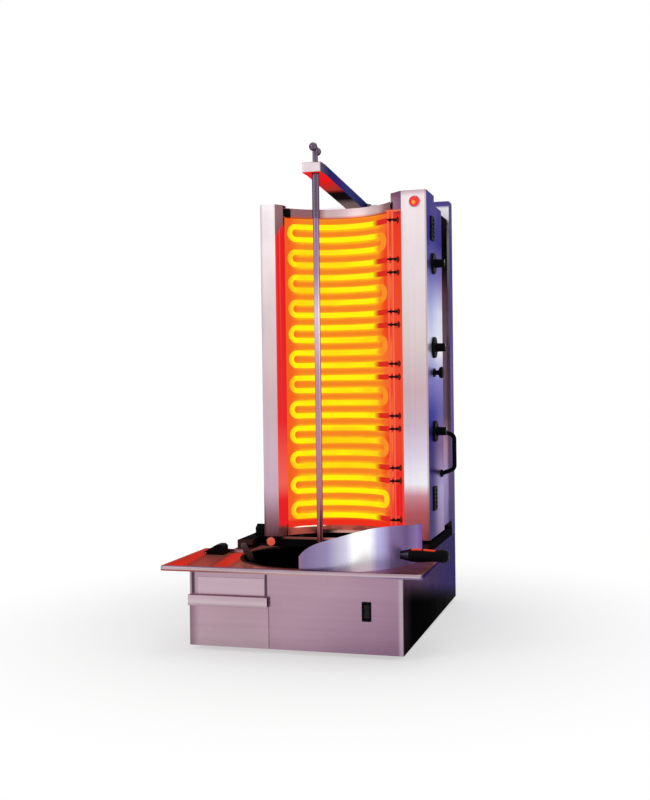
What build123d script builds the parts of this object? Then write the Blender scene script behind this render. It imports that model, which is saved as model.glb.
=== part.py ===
from build123d import *
import os
from math import cos, radians, sin, sqrt

# Electric doner kebab grill: a sheet-metal base with a drawer and a gearmotor, an overhanging worktop with
# a round drip pan, an upright spit held by an arm, and a heater head that slides on rails behind the spit.
# Millimetres. X is to the right, Y runs from front to back, Z is up. The origin is the centre of the underside
# of the base; the feet reach down from there.

os.makedirs("parts", exist_ok=True)

# Base
base_width = 500.0
base_depth = 700.0
base_height = 177.0
foot_height = 10.0
foot_radius = 20.0
foot_inset = 70.0
sheet = 2.0
seat_gap = 0.3
gland_length = 20.0
gland_radius = 14.0

# Worktop and drip pan
worktop_width = 604.0
worktop_overhang = 50.0
worktop_reach = 275.0
rim_height = 11.0
rim_width = 12.0
rim_radius = 5.0
tongue_half_width = 196.0
pan_hole_radius = 186.0
pan_flange_width = 7.0
pan_depth = 45.0
pan_sheet = 1.5
pan_boss_radius = 34.0
pan_boss_height = 26.0
pan_corner_radius = 14.0

# Spit and its drive
spit_setback = 205.0
spit_x = 4.0
spit_radius = 7.5
spit_tip_radius = 4.0
spit_tip_length = 32.0
running_clearance = 0.05
hex_flats = 12.0
hex_length = 26.0
socket_radius = 17.0
drip_disc_radius = 40.0
gearbox_radius = 46.0
motor_radius = 37.0
motor_length = 150.0
output_radius = 15.0

# Arm and top pin
arm_width = 46.0
arm_thickness = 24.0
arm_nose = 22.0
arm_underside = 1097.0
arm_fall = 30.0
pin_radius = 8.6
pin_bottom = 991.0
pin_stem_radius = 6.5
pin_lift = 45.0
bush_wall = 4.0
tommy_height = 1155.0
tommy_half_length = 30.0
tommy_turn = 7.6
tommy_radius = 3.5
ball_radius = 10.0

# Heater head
head_setback = 319.0
head_depth = 208.0
head_left = -177.0
head_bottom = 207.0
roof_height = 1040.0
column_left = 187.5
column_height = 1064.0
column_depth = 106.0
column_chamfer = 33.0
left_post_width = 39.0
left_post_height = 1049.0
left_cheek_width = 15.0
left_cheek_depth = 20.0
arc_middle = 16.0
arc_half_chord = 134.0
arc_sag = 68.0
top_band_top = 1043.0
top_band_bottom = 1018.0
bottom_band_top = 227.0
reflector_gap = 3.0

# Heating elements
element_count = 6
legs_per_element = 4
leg_pitch = 32.15
first_leg = 994.5
element_radius = 6.5
element_gap = 16.0
element_half_angle = 48.0
cold_bend_radius = 20.0
cold_lead = 18.0
cold_end_depth = 181.0
collar_wall = 2.5
rod_radius = 2.5

# Rear housing and sleeve
rear_setback = 648.0
rear_depth = 48.0
rear_top = 1085.0
sleeve_recess = 6.0
sleeve_overlap = 45.0
slide_forward = 40.0
slide_back = 40.0

# Rails and carriage
rail_height = 23.0
rail_width = 40.0
rail_front = 290.0
carriage_thickness = 6.0
carriage_floor = 5.0
rail_slot_depth = 25.0

# Controls
dial_setback = 402.0
dial_top = 891.0
dial_pitch = 210.0
dial_count = 3
dial_skirt_radius = 27.0
dial_skirt_height = 5.0
dial_grip_radius = 11.0
dial_grip_length = 24.0
shaft_radius = 3.0
button_drop = 63.0
button_travel = 5.0
handle_setback = 487.0
handle_low = 358.0
handle_high = 468.0
handle_reach = 35.0
handle_radius = 5.5

# Drawer
drawer_left = -245.0
drawer_right = -62.0
drawer_front_left = -249.0
drawer_front_right = -59.0
drawer_lip_top = 117.0
drawer_lip_bottom = 93.0
drawer_depth = 300.0
drawer_travel = 220.0
front_plate = 2.0

# Places that follow from the values above
base_front = -base_depth / 2
base_rear = base_front + base_depth
half_base = base_width / 2
deck = base_height
button_height = dial_top - dial_pitch - button_drop
collar_radius = element_radius + collar_wall
spit_y = base_front + spit_setback
head_y = base_front + head_setback
head_rear = head_y + head_depth
rear_y = base_front + rear_setback
arc_radius = (arc_half_chord**2 + arc_sag**2) / (2 * arc_sag)
arc_centre_y = head_y + column_chamfer + arc_sag - arc_radius
floor_top = deck + sheet


# Base shell: bottom, walls and the openings for the drawer, the panel above it and the rocker switch
rocker_x = 167.5
rocker_z = 94.0
rocker_width = 15.0
rocker_tall = 37.0
panel_left = -231.0
panel_right = -68.0
panel_top = 158.0
panel_bottom = drawer_lip_top
drawer_bottom = 4.0
drawer_opening_top = drawer_lip_top - 4.0
vent_slot = 4.0
vent_length = 60.0

with BuildPart() as base_shell:
    with BuildSketch(Plane.XY):
        with Locations((0, base_front + base_depth / 2)):
            Rectangle(base_width, base_depth)
    extrude(amount=base_height)
    fillet(base_shell.edges().filter_by(Axis.Z), 4.0)
    with BuildSketch(Plane.XY.offset(sheet)):
        with Locations((0, base_front + base_depth / 2)):
            Rectangle(base_width - 2 * sheet, base_depth - 2 * sheet)
    extrude(amount=base_height, mode=Mode.SUBTRACT)
    with BuildSketch(Plane.XZ.offset(-base_front - sheet - 1.0)):
        with Locations(((drawer_left + drawer_right) / 2, (drawer_bottom + drawer_opening_top) / 2)):
            Rectangle(drawer_right - drawer_left + 2.0, drawer_opening_top - drawer_bottom)
        with Locations(((panel_left + panel_right) / 2, (panel_top + panel_bottom) / 2)):
            Rectangle(panel_right - panel_left, panel_top - panel_bottom)
        with Locations((rocker_x, rocker_z)):
            Rectangle(rocker_width, rocker_tall)
    extrude(amount=sheet + 2.0, mode=Mode.SUBTRACT)
    with BuildSketch(Plane.XZ.offset(-base_rear - 1.0)):
        with Locations((170.0, deck - 60.0)):
            Circle(gland_radius)
        with Locations((-60.0, deck - 70.0)):
            with GridLocations(vent_length + 20.0, 14.0, 3, 5):
                SlotOverall(vent_length, vent_slot)
    extrude(amount=sheet + 2.0, mode=Mode.SUBTRACT)
base_shell.part.label = "base_shell"
export_step(base_shell.part, "parts/base_shell.step")

# Deck: the top of the base, with a round hole for the pan
with BuildPart() as base_deck:
    with BuildSketch(Plane.XY.offset(deck - sheet)):
        with Locations((0, base_front + base_depth / 2)):
            Rectangle(base_width - 2 * sheet, base_depth - 2 * sheet)
        with Locations((spit_x, spit_y)):
            Circle(pan_hole_radius + 4.0, mode=Mode.SUBTRACT)
    extrude(amount=sheet)
base_deck.part.label = "base_deck"
export_step(base_deck.part, "parts/base_deck.step")

# Flush panel above the drawer, with a flange behind the wall
seam = 0.5
with BuildPart() as upper_front_panel:
    with BuildSketch(Plane.XZ.offset(-base_front - sheet)):
        with Locations(((panel_left + panel_right) / 2, (panel_top + panel_bottom) / 2)):
            Rectangle(panel_right - panel_left - 2 * seam, panel_top - panel_bottom - 2 * seam)
    extrude(amount=sheet)
    with BuildSketch(Plane.XZ.offset(-base_front - sheet)):
        with Locations(((panel_left + panel_right) / 2, (panel_top + panel_bottom) / 2)):
            Rectangle(panel_right - panel_left + 12.0, panel_top - panel_bottom + 6.0)
    extrude(amount=-1.5)
upper_front_panel.part.label = "upper_front_panel"
export_step(upper_front_panel.part, "parts/upper_front_panel.step")

# Four rubber feet under the bottom plate
foot_x = half_base - foot_inset
foot_y = base_depth / 2 - foot_inset
with BuildPart() as feet:
    with BuildSketch(Plane.XY):
        with Locations((0, base_front + base_depth / 2)):
            with GridLocations(2 * foot_x, 2 * foot_y, 2, 2):
                Circle(foot_radius)
    extrude(amount=-foot_height, taper=8)
feet.part.label = "feet"
export_step(feet.part, "parts/feet.step")

# Worktop: hollow rim all round the wide front part, floor sheet, and a tongue that runs under the heater head
worktop_front = base_front - worktop_overhang
worktop_rear = worktop_front + worktop_reach
tongue_rear = spit_y + pan_hole_radius + 18.0
with BuildPart() as worktop:
    with BuildSketch(Plane.XY.offset(deck)):
        with Locations((0, (worktop_front + worktop_rear) / 2)):
            RectangleRounded(worktop_width, worktop_reach, 12.0)
    extrude(amount=rim_height)
    fillet(worktop.faces().sort_by(Axis.Z)[-1].edges(), rim_radius - 1.0)
    with BuildSketch(Plane.XY.offset(floor_top)):
        with Locations((0, (worktop_front + worktop_rear) / 2)):
            RectangleRounded(worktop_width - 2 * rim_width, worktop_reach - 2 * rim_width, 8.0)
    extrude(amount=rim_height, taper=-4, mode=Mode.SUBTRACT)
    with BuildSketch(Plane.XY.offset(deck)):
        with Locations((0, (worktop_front + worktop_rear) / 2)):
            RectangleRounded(worktop_width - 2 * sheet, worktop_reach - 2 * sheet, 10.0)
            RectangleRounded(worktop_width - 2 * rim_width + 5, worktop_reach - 2 * rim_width + 5, 8.0, mode=Mode.SUBTRACT)
    extrude(amount=rim_height - rim_radius - sheet, mode=Mode.SUBTRACT)
    with BuildSketch(Plane.XY.offset(deck)):
        with Locations((0, (worktop_rear + tongue_rear) / 2 - rim_width)):
            Rectangle(2 * tongue_half_width, tongue_rear - worktop_rear + 2 * rim_width)
    extrude(amount=rim_height + 1.0, mode=Mode.SUBTRACT)
    with BuildSketch(Plane.XY.offset(deck)):
        with Locations((0, (worktop_rear + tongue_rear) / 2 - rim_width)):
            Rectangle(2 * tongue_half_width, tongue_rear - worktop_rear + 2 * rim_width)
    extrude(amount=sheet)
    with BuildSketch(Plane.XY.offset(deck - 1.0)):
        with Locations((spit_x, spit_y)):
            Circle(pan_hole_radius)
    extrude(amount=rim_height + 2.0, mode=Mode.SUBTRACT)
worktop.part.label = "worktop"
export_step(worktop.part, "parts/worktop.step")

# Drip pan: a spun pan that hangs by its flange, with a raised boss round the drive and a drain over the drawer
pan_outer = pan_hole_radius - seam
pan_floor = floor_top - pan_depth
pan_hole = socket_radius + 4.0
boss_top = pan_floor + pan_boss_height
with BuildPart() as drip_pan:
    with BuildSketch(Plane.XZ.offset(-spit_y)):
        with BuildLine():
            Polyline(
                (spit_x + pan_outer + pan_flange_width, floor_top),
                (spit_x + pan_outer + pan_flange_width, floor_top + pan_sheet),
                (spit_x + pan_outer - pan_sheet, floor_top + pan_sheet),
                (spit_x + pan_outer - pan_sheet, pan_floor + pan_corner_radius),
                (spit_x + pan_outer - pan_corner_radius, pan_floor + pan_sheet),
                (spit_x + pan_boss_radius + 4.0, pan_floor + pan_sheet),
                (spit_x + pan_boss_radius - 4.0, boss_top),
                (spit_x + pan_hole, boss_top),
                (spit_x + pan_hole, boss_top - pan_sheet),
                (spit_x + pan_boss_radius - 4.0 - pan_sheet, boss_top - pan_sheet),
                (spit_x + pan_boss_radius + 4.0 - pan_sheet, pan_floor),
                (spit_x + pan_outer - pan_corner_radius + 1.0, pan_floor),
                (spit_x + pan_outer, pan_floor + pan_corner_radius - 1.0),
                (spit_x + pan_outer, floor_top),
                close=True,
            )
        make_face()
    revolve(axis=Axis((spit_x, spit_y, 0), (0, 0, 1)))
    with BuildSketch(Plane.XY.offset(pan_floor - 1.0)):
        with Locations((-130.0, spit_y - 60.0)):
            Circle(8.0)
    extrude(amount=4.0, mode=Mode.SUBTRACT)
drip_pan.part.label = "drip_pan"
export_step(drip_pan.part, "parts/drip_pan.step")

# Guard: a rolled sheet that stands on the worktop around the pan, low at its left end, high at the right
guard_x = 12.0
guard_radius = 240.0
guard_sheet = 1.5
guard_start = -87.0
guard_end = 1.0
guard_low = 220.0
guard_high = 274.0
guard_right = 262.0
guard_floor = floor_top + seat_gap
with BuildPart() as guard:
    with BuildSketch(Plane.XY.offset(guard_floor)):
        with Locations((guard_x, spit_y)):
            Circle(guard_radius)
            Circle(guard_radius - guard_sheet, mode=Mode.SUBTRACT)
        with BuildLine():
            Polyline(
                (guard_x, spit_y),
                (guard_x + 2 * guard_radius * cos(radians(guard_start)), spit_y + 2 * guard_radius * sin(radians(guard_start))),
                (guard_x + 2 * guard_radius, spit_y - 2 * guard_radius),
                (guard_x + 2 * guard_radius * cos(radians(guard_end)), spit_y + 2 * guard_radius * sin(radians(guard_end))),
                close=True,
            )
        make_face(mode=Mode.INTERSECT)
    extrude(amount=guard_high - guard_floor)
    with BuildSketch(Plane.XZ.offset(-spit_y + guard_radius + 5.0)):
        with BuildLine():
            left = Spline(
                (guard_x + 5.0, guard_low - 18.0),
                (guard_x + 24.0, guard_low + 9.0),
                (guard_x + 90.0, guard_low + 36.0),
                (guard_x + 165.0, guard_high - 1.0),
                (guard_x + 215.0, guard_high - 2.0),
                (guard_x + 245.0, guard_right),
            )
            Polyline(left @ 1, (guard_x + 245.0, 2 * guard_high), (guard_x + 5.0, 2 * guard_high), left @ 0)
        make_face()
    extrude(amount=-2 * guard_radius, mode=Mode.SUBTRACT)
guard.part.label = "guard"
export_step(guard.part, "parts/guard.step")

# Handle of the guard: a steel ferrule and a black grip that points out over the rim
grip_angle = -27.0
grip_x = guard_x + guard_radius * cos(radians(grip_angle))
grip_y = spit_y + guard_radius * sin(radians(grip_angle))
grip_z = 206.0
ferrule_length = 14.0
grip_length = 98.0
grip_plane = Plane(origin=(grip_x - 1.2, grip_y, grip_z), z_dir=(1, 0, 0))
with BuildPart() as guard_ferrule:
    with BuildSketch(grip_plane):
        Circle(9.0)
    extrude(amount=ferrule_length + 6.0, taper=-12)
    with BuildSketch(Plane.XY.offset(grip_z - 40.0)):
        with Locations((guard_x, spit_y)):
            Circle(guard_radius + 0.05)
    extrude(amount=80.0, mode=Mode.SUBTRACT)
guard_ferrule.part.label = "guard_ferrule"
export_step(guard_ferrule.part, "parts/guard_ferrule.step")

grip_start = grip_x - 1.2 + ferrule_length + 6.0
with BuildPart() as guard_grip:
    with BuildSketch(Plane.XY.offset(grip_z)):
        with BuildLine():
            outline = Spline(
                (grip_start, grip_y + 13.5),
                (grip_start + 22.0, grip_y + 15.5),
                (grip_start + 52.0, grip_y + 13.5),
                (grip_start + 78.0, grip_y + 15.5),
            )
            Polyline(
                outline @ 1,
                (grip_start + 87.0, grip_y + 12.5),
                (grip_start + 90.0, grip_y + 7.0),
                (grip_start + 90.0, grip_y),
                (grip_start, grip_y),
                outline @ 0,
            )
        make_face()
    revolve(axis=Axis((grip_start, grip_y, grip_z), (1, 0, 0)))
guard_grip.part.label = "guard_grip"
export_step(guard_grip.part, "parts/guard_grip.step")

# Catch at the worktop's rear left corner: a black cam on a pin
catch_pin_radius = 2.5
catch_eye_radius = 4.6
catch_pin_x = 23.0 - worktop_width / 2
catch_pin_z = floor_top + catch_eye_radius + seat_gap
catch_front = worktop_rear - rim_width - 40.0
catch_width = 30.0
catch_length = 47.0
catch_height = 26.0
with BuildPart() as tray_catch:
    with BuildSketch(Plane.XZ.offset(-catch_front - catch_width)):
        with BuildLine():
            Polyline(
                (catch_pin_x, floor_top + seat_gap),
                (catch_pin_x + catch_length, floor_top + seat_gap),
                (catch_pin_x + catch_length, floor_top + catch_height - 5.0),
                (catch_pin_x + catch_length - 6.0, floor_top + catch_height),
                (catch_pin_x + catch_length - 18.0, floor_top + catch_height),
                (catch_pin_x, catch_pin_z + catch_eye_radius),
                close=True,
            )
        make_face()
        with Locations((catch_pin_x, catch_pin_z)):
            Circle(catch_eye_radius)
            Circle(catch_pin_radius + running_clearance, mode=Mode.SUBTRACT)
    extrude(amount=catch_width)
    fillet(tray_catch.edges().filter_by(Axis.Y).sort_by(Axis.Z)[-2:], 2.5)
tray_catch.part.label = "tray_catch"
export_step(tray_catch.part, "parts/tray_catch.step")

with BuildPart() as catch_pin:
    with BuildSketch(Plane.XZ.offset(-worktop_rear + rim_width - 0.2)):
        with Locations((catch_pin_x, catch_pin_z)):
            Circle(catch_pin_radius)
    extrude(amount=catch_width + 12.0)
catch_pin.part.label = "catch_pin"
export_step(catch_pin.part, "parts/catch_pin.step")

# Drawer: box, folded front with a finger lip, and its runners
box_left = drawer_left + 2.0
box_right = drawer_right - 2.0
box_bottom = drawer_bottom + 1.0
box_top = drawer_opening_top - 4.0
drawer_sheet = 1.2
with BuildPart() as drawer_box:
    with BuildSketch(Plane.XY.offset(box_bottom)):
        with Locations(((box_left + box_right) / 2, base_front + drawer_depth / 2)):
            Rectangle(box_right - box_left, drawer_depth)
    extrude(amount=box_top - box_bottom)
    with BuildSketch(Plane.XY.offset(box_bottom + drawer_sheet)):
        with Locations(((box_left + box_right) / 2, base_front + drawer_depth / 2)):
            Rectangle(box_right - box_left - 2 * drawer_sheet, drawer_depth - 2 * drawer_sheet)
    extrude(amount=box_top - box_bottom, mode=Mode.SUBTRACT)
drawer_box.part.label = "drawer_box"
export_step(drawer_box.part, "parts/drawer_box.step")

lip_reach = 12.0
plate_back = base_front - seat_gap
with BuildPart() as drawer_front:
    with BuildSketch(Plane.YZ.offset(drawer_front_left)):
        with BuildLine():
            Polyline(
                (plate_back, 1.0),
                (plate_back, drawer_lip_top),
                (plate_back - lip_reach, drawer_lip_top),
                (plate_back - lip_reach, drawer_lip_bottom),
                (plate_back - lip_reach + 1.5, drawer_lip_bottom),
                (plate_back - lip_reach + 1.5, drawer_lip_top - 1.5),
                (plate_back - front_plate, drawer_lip_top - 1.5),
                (plate_back - front_plate, 1.0),
                close=True,
            )
        make_face()
    extrude(amount=drawer_front_right - drawer_front_left)
    with BuildSketch(Plane.XZ.offset(-plate_back)):
        with Locations(((box_left + box_right) / 2, (box_bottom + box_top) / 2)):
            Rectangle(box_right - box_left - 4.0, box_top - box_bottom - 4.0)
    extrude(amount=-seat_gap)
drawer_front.part.label = "drawer_front"
export_step(drawer_front.part, "parts/drawer_front.step")

floor_plate = sheet
runner_length = drawer_depth + 20.0
with BuildPart() as runners:
    with BuildSketch(Plane.XZ.offset(-base_front - sheet)):
        with BuildLine():
            Polyline(
                (-half_base + sheet, floor_plate),
                (box_left + 10.0, floor_plate),
                (box_left + 10.0, box_bottom - seat_gap),
                (box_left - seat_gap, box_bottom - seat_gap),
                (box_left - seat_gap, box_bottom + 30.0),
                (-half_base + sheet, box_bottom + 30.0),
                close=True,
            )
        make_face()
        with BuildLine():
            Polyline(
                (box_right + 4.0, floor_plate),
                (box_right - 10.0, floor_plate),
                (box_right - 10.0, box_bottom - seat_gap),
                (box_right + seat_gap, box_bottom - seat_gap),
                (box_right + seat_gap, box_bottom + 30.0),
                (box_right + 4.0, box_bottom + 30.0),
                close=True,
            )
        make_face()
    extrude(amount=-runner_length)
runners.part.label = "runners"
export_step(runners.part, "parts/runners.step")

# Rocker switch on the base front
rocker_rim = 3.0
with BuildPart() as rocker_frame:
    with BuildSketch(Plane.XZ.offset(-base_front)):
        with Locations((rocker_x, rocker_z)):
            RectangleRounded(rocker_width + 2 * rocker_rim, rocker_tall + 2 * rocker_rim, 2.0)
    extrude(amount=2.0)
    with BuildSketch(Plane.XZ.offset(-base_front)):
        with Locations((rocker_x, rocker_z)):
            Rectangle(rocker_width - seat_gap, rocker_tall - seat_gap)
    extrude(amount=-22.0)
    with BuildSketch(Plane.XZ.offset(-base_front + 3.0)):
        with Locations((rocker_x, rocker_z)):
            Rectangle(rocker_width - 2.4, rocker_tall - 2.4)
    extrude(amount=-19.0, mode=Mode.SUBTRACT)
rocker_frame.part.label = "rocker_frame"
export_step(rocker_frame.part, "parts/rocker_frame.step")

rocker_pivot_y = base_front + 8.0
with BuildPart() as rocker:
    with BuildSketch(Plane.YZ.offset(rocker_x - rocker_width / 2 + 1.5)):
        with Locations((rocker_pivot_y, rocker_z)):
            Circle((rocker_tall - 3.0) / 2)
        with Locations((rocker_pivot_y - 12.0, rocker_z)):
            Rectangle(8.0, rocker_tall * 2, mode=Mode.SUBTRACT)
        with Locations((rocker_pivot_y + 20.0, rocker_z)):
            Rectangle(30.0, rocker_tall * 2, mode=Mode.SUBTRACT)
        with Locations((rocker_pivot_y - 22.0, rocker_z)):
            Circle(15.5, mode=Mode.SUBTRACT)
        with Locations((rocker_pivot_y - 16.0, rocker_z)):
            Rectangle(14.0, rocker_tall * 2, mode=Mode.SUBTRACT)
    extrude(amount=rocker_width - 3.0)
rocker.part.label = "rocker"
export_step(rocker.part, "parts/rocker.step")

# Gearbox under the pan, motor behind it
gearbox_top = pan_floor - 6.0
with BuildPart() as gearbox:
    with BuildSketch(Plane.XY.offset(floor_plate)):
        with Locations((spit_x, spit_y)):
            RectangleRounded(2 * gearbox_radius + 14.0, 2 * gearbox_radius + 14.0, 8.0)
    extrude(amount=6.0)
    with BuildSketch(Plane.XY.offset(floor_plate)):
        with Locations((spit_x, spit_y)):
            RectangleRounded(2 * gearbox_radius - 4.0, 2 * gearbox_radius - 4.0, 14.0)
    extrude(amount=gearbox_top - floor_plate - 8.0)
    with BuildSketch(Plane.XY.offset(floor_plate)):
        with Locations((spit_x, spit_y)):
            Circle(output_radius + 14.0)
    extrude(amount=gearbox_top - floor_plate)
    with BuildSketch(Plane.XY.offset(gearbox_top)):
        with Locations((spit_x, spit_y)):
            Circle(10.0 + running_clearance)
    extrude(amount=-42.0, mode=Mode.SUBTRACT)
gearbox.part.label = "gearbox"
export_step(gearbox.part, "parts/gearbox.step")

motor_z = floor_plate + motor_radius + 12.0
motor_start = spit_y + gearbox_radius - 2.0
with BuildPart() as motor:
    with BuildSketch(Plane.XZ.offset(-motor_start)):
        with Locations((spit_x, motor_z)):
            Circle(motor_radius)
    extrude(amount=-motor_length)
    with BuildSketch(Plane.XZ.offset(-motor_start - 20.0)):
        with Locations((spit_x, motor_z)):
            with PolarLocations(motor_radius + 1.5, 18):
                Rectangle(5.0, 2.0)
    extrude(amount=-(motor_length - 40.0))
    with BuildSketch(Plane.XY.offset(floor_plate)):
        with Locations((spit_x, motor_start + motor_length / 2)):
            Rectangle(50.0, 60.0)
    extrude(amount=24.0)
motor.part.label = "motor"
export_step(motor.part, "parts/motor.step")

# Drive socket: shaft into the gearbox, hexagon socket above the pan, and a disc that throws off the fat
socket_bottom = gearbox_top + seat_gap
socket_top = floor_top + 12.0
disc_height = boss_top + 9.0
with BuildPart() as drive_socket:
    with BuildSketch(Plane.XY.offset(gearbox_top - 40.0)):
        with Locations((spit_x, spit_y)):
            Circle(10.0)
    extrude(amount=40.0 + seat_gap)
    with BuildSketch(Plane.XY.offset(socket_bottom)):
        with Locations((spit_x, spit_y)):
            Circle(socket_radius)
    extrude(amount=socket_top - socket_bottom)
    with BuildSketch(Plane.XY.offset(disc_height)):
        with Locations((spit_x, spit_y)):
            Circle(drip_disc_radius)
    extrude(amount=3.0)
    with BuildSketch(Plane.XY.offset(socket_top)):
        with Locations((spit_x, spit_y)):
            RegularPolygon(hex_flats / 2 + running_clearance, 6, major_radius=False)
    extrude(amount=-hex_length - 2.0, mode=Mode.SUBTRACT)
    chamfer(drive_socket.faces().sort_by(Axis.Z)[-1].edges().filter_by(GeomType.CIRCLE), 2.0)
drive_socket.part.label = "drive_socket"
export_step(drive_socket.part, "parts/drive_socket.step")

# Spit: hexagon foot, round bar, and a thin tip that turns in the top pin
spit_top = pin_bottom - seat_gap
with BuildPart() as spit_rod:
    with BuildSketch(Plane.XY.offset(socket_top - hex_length)):
        with Locations((spit_x, spit_y)):
            RegularPolygon(hex_flats / 2, 6, major_radius=False)
    extrude(amount=hex_length)
    with BuildSketch(Plane.XY.offset(socket_top)):
        with Locations((spit_x, spit_y)):
            Circle(spit_radius)
    extrude(amount=spit_top - socket_top)
    with BuildSketch(Plane.XY.offset(spit_top)):
        with Locations((spit_x, spit_y)):
            Circle(spit_tip_radius)
    extrude(amount=spit_tip_length)
    chamfer(spit_rod.faces().sort_by(Axis.Z)[-1].edges(), 1.5)
spit_rod.part.label = "spit_rod"
export_step(spit_rod.part, "parts/spit_rod.step")

# Top pin: it slides up through the arm to free the spit
arm_top = arm_underside + arm_thickness
tommy_axis = (sin(radians(tommy_turn)), -cos(radians(tommy_turn)), 0)
tommy_plane = Plane(origin=(spit_x, spit_y, tommy_height), z_dir=tommy_axis)
with BuildPart() as top_pin:
    with BuildSketch(Plane.XY.offset(pin_bottom)):
        with Locations((spit_x, spit_y)):
            Circle(pin_radius)
    extrude(amount=arm_top + 2.0 - pin_bottom)
    with BuildSketch(Plane.XY.offset(arm_top + 2.0)):
        with Locations((spit_x, spit_y)):
            Circle(pin_stem_radius)
    extrude(amount=tommy_height + 6.0 - arm_top - 2.0)
    with BuildSketch(Plane.XY.offset(pin_bottom)):
        with Locations((spit_x, spit_y)):
            Circle(spit_tip_radius + running_clearance)
    extrude(amount=spit_tip_length + 4.0, mode=Mode.SUBTRACT)
    with BuildSketch(tommy_plane.offset(-20.0)):
        Circle(tommy_radius)
    extrude(amount=40.0, mode=Mode.SUBTRACT)
    chamfer(top_pin.faces().sort_by(Axis.Z)[-1].edges(), 1.5)
top_pin.part.label = "top_pin"
export_step(top_pin.part, "parts/top_pin.step")

with BuildPart() as tommy_bar:
    with BuildSketch(tommy_plane.offset(-tommy_half_length)):
        Circle(tommy_radius - 0.01)
    extrude(amount=2 * tommy_half_length)
    for end in (-tommy_half_length, tommy_half_length):
        with Locations(tommy_plane.offset(end).origin):
            Sphere(ball_radius)
tommy_bar.part.label = "tommy_bar"
export_step(tommy_bar.part, "parts/tommy_bar.step")

# Arm: a cranked bar from the rear housing to the spit, with a bush for the pin
arm_front = spit_y - arm_nose
arm_knee = spit_y + arm_nose
arm_rear_knee = rear_y - 10.0
arm_end = rear_y + rear_depth - 4.0
with BuildPart() as arm:
    with BuildSketch(Plane.YZ.offset(-arm_width / 2)):
        with BuildLine():
            Polyline(
                (arm_front, arm_underside),
                (arm_knee, arm_underside),
                (arm_rear_knee, arm_underside - arm_fall),
                (arm_end, arm_underside - arm_fall),
                (arm_end, arm_underside - arm_fall + arm_thickness),
                (arm_rear_knee, arm_underside - arm_fall + arm_thickness),
                (arm_knee, arm_top),
                (arm_front, arm_top),
                close=True,
            )
        make_face()
    extrude(amount=arm_width)
    fillet(arm.faces().sort_by(Axis.Y)[0].edges(), 3.0)
    with BuildSketch(Plane.XY.offset(arm_top + 1.0)):
        with Locations((spit_x, spit_y)):
            Circle(pin_radius + bush_wall)
    extrude(amount=-arm_thickness - 2.0, mode=Mode.SUBTRACT)
arm.part.label = "arm"
export_step(arm.part, "parts/arm.step")

with BuildPart() as arm_bush:
    with BuildSketch(Plane.XY.offset(arm_underside)):
        with Locations((spit_x, spit_y)):
            Circle(pin_radius + bush_wall)
    extrude(amount=arm_thickness)
    with BuildSketch(Plane.XY.offset(arm_top)):
        with Locations((spit_x, spit_y)):
            Circle(pin_radius + bush_wall + 2.5)
    extrude(amount=1.5)
    with BuildSketch(Plane.XY.offset(arm_underside - 1.0)):
        with Locations((spit_x, spit_y)):
            Circle(pin_radius + running_clearance)
    extrude(amount=arm_thickness + 4.0, mode=Mode.SUBTRACT)
arm_bush.part.label = "arm_bush"
export_step(arm_bush.part, "parts/arm_bush.step")

# Rear housing: a tall thin box on the deck, open at the back, with a notch in its top for the arm's saddle
saddle_width = 60.0
saddle_floor = 4.0
saddle_bottom = arm_underside - arm_fall - saddle_floor
saddle_top = rear_top + 5.0
housing_middle = (head_left + half_base) / 2
housing_width = half_base - head_left
sleeve_left = head_left + sleeve_recess
sleeve_right = half_base - sleeve_recess
sleeve_bottom = head_bottom + sleeve_recess
sleeve_top = roof_height - sleeve_recess + 1.0
with BuildPart() as rear_housing:
    with BuildSketch(Plane.XY.offset(deck)):
        with Locations((housing_middle, rear_y + rear_depth / 2)):
            Rectangle(housing_width, rear_depth)
    extrude(amount=rear_top - deck)
    with BuildSketch(Plane.XZ.offset(-rear_y - sheet)):
        with Locations((housing_middle, (deck + rear_top) / 2)):
            Rectangle(housing_width - 2 * sheet, rear_top - deck - 2 * sheet)
    extrude(amount=-rear_depth, mode=Mode.SUBTRACT)
    with BuildSketch(Plane.XY.offset(saddle_bottom)):
        with Locations((0, rear_y + rear_depth / 2)):
            Rectangle(saddle_width + 2 * sheet, rear_depth)
    extrude(amount=rear_top - saddle_bottom)
    with BuildSketch(Plane.XY.offset(saddle_bottom)):
        with Locations((0, rear_y + rear_depth / 2)):
            Rectangle(saddle_width, rear_depth + 10.0)
    extrude(amount=60.0, mode=Mode.SUBTRACT)
    with BuildSketch(Plane.XY.offset(saddle_bottom - sheet)):
        with Locations((0, rear_y + rear_depth / 2)):
            Rectangle(saddle_width + 2 * sheet, rear_depth)
    extrude(amount=sheet)
    with BuildSketch(Plane.XZ.offset(-rear_y + 1.0)):
        with Locations((housing_middle, (sleeve_bottom + sleeve_top) / 2)):
            Rectangle(sleeve_right - sleeve_left - 60.0, sleeve_top - sleeve_bottom - 60.0)
    extrude(amount=-(sheet + 2.0), mode=Mode.SUBTRACT)
rear_housing.part.label = "rear_housing"
export_step(rear_housing.part, "parts/rear_housing.step")

with BuildPart() as arm_saddle:
    with BuildSketch(Plane.XZ.offset(-rear_y)):
        with Locations((0, (saddle_bottom + saddle_top) / 2)):
            Rectangle(saddle_width, saddle_top - saddle_bottom)
        with Locations((0, (saddle_bottom + saddle_floor + saddle_top) / 2 + 5.0)):
            Rectangle(arm_width, saddle_top - saddle_bottom - saddle_floor + 10.0, mode=Mode.SUBTRACT)
    extrude(amount=-(rear_depth - 2.0))
arm_saddle.part.label = "arm_saddle"
export_step(arm_saddle.part, "parts/arm_saddle.step")

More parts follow.
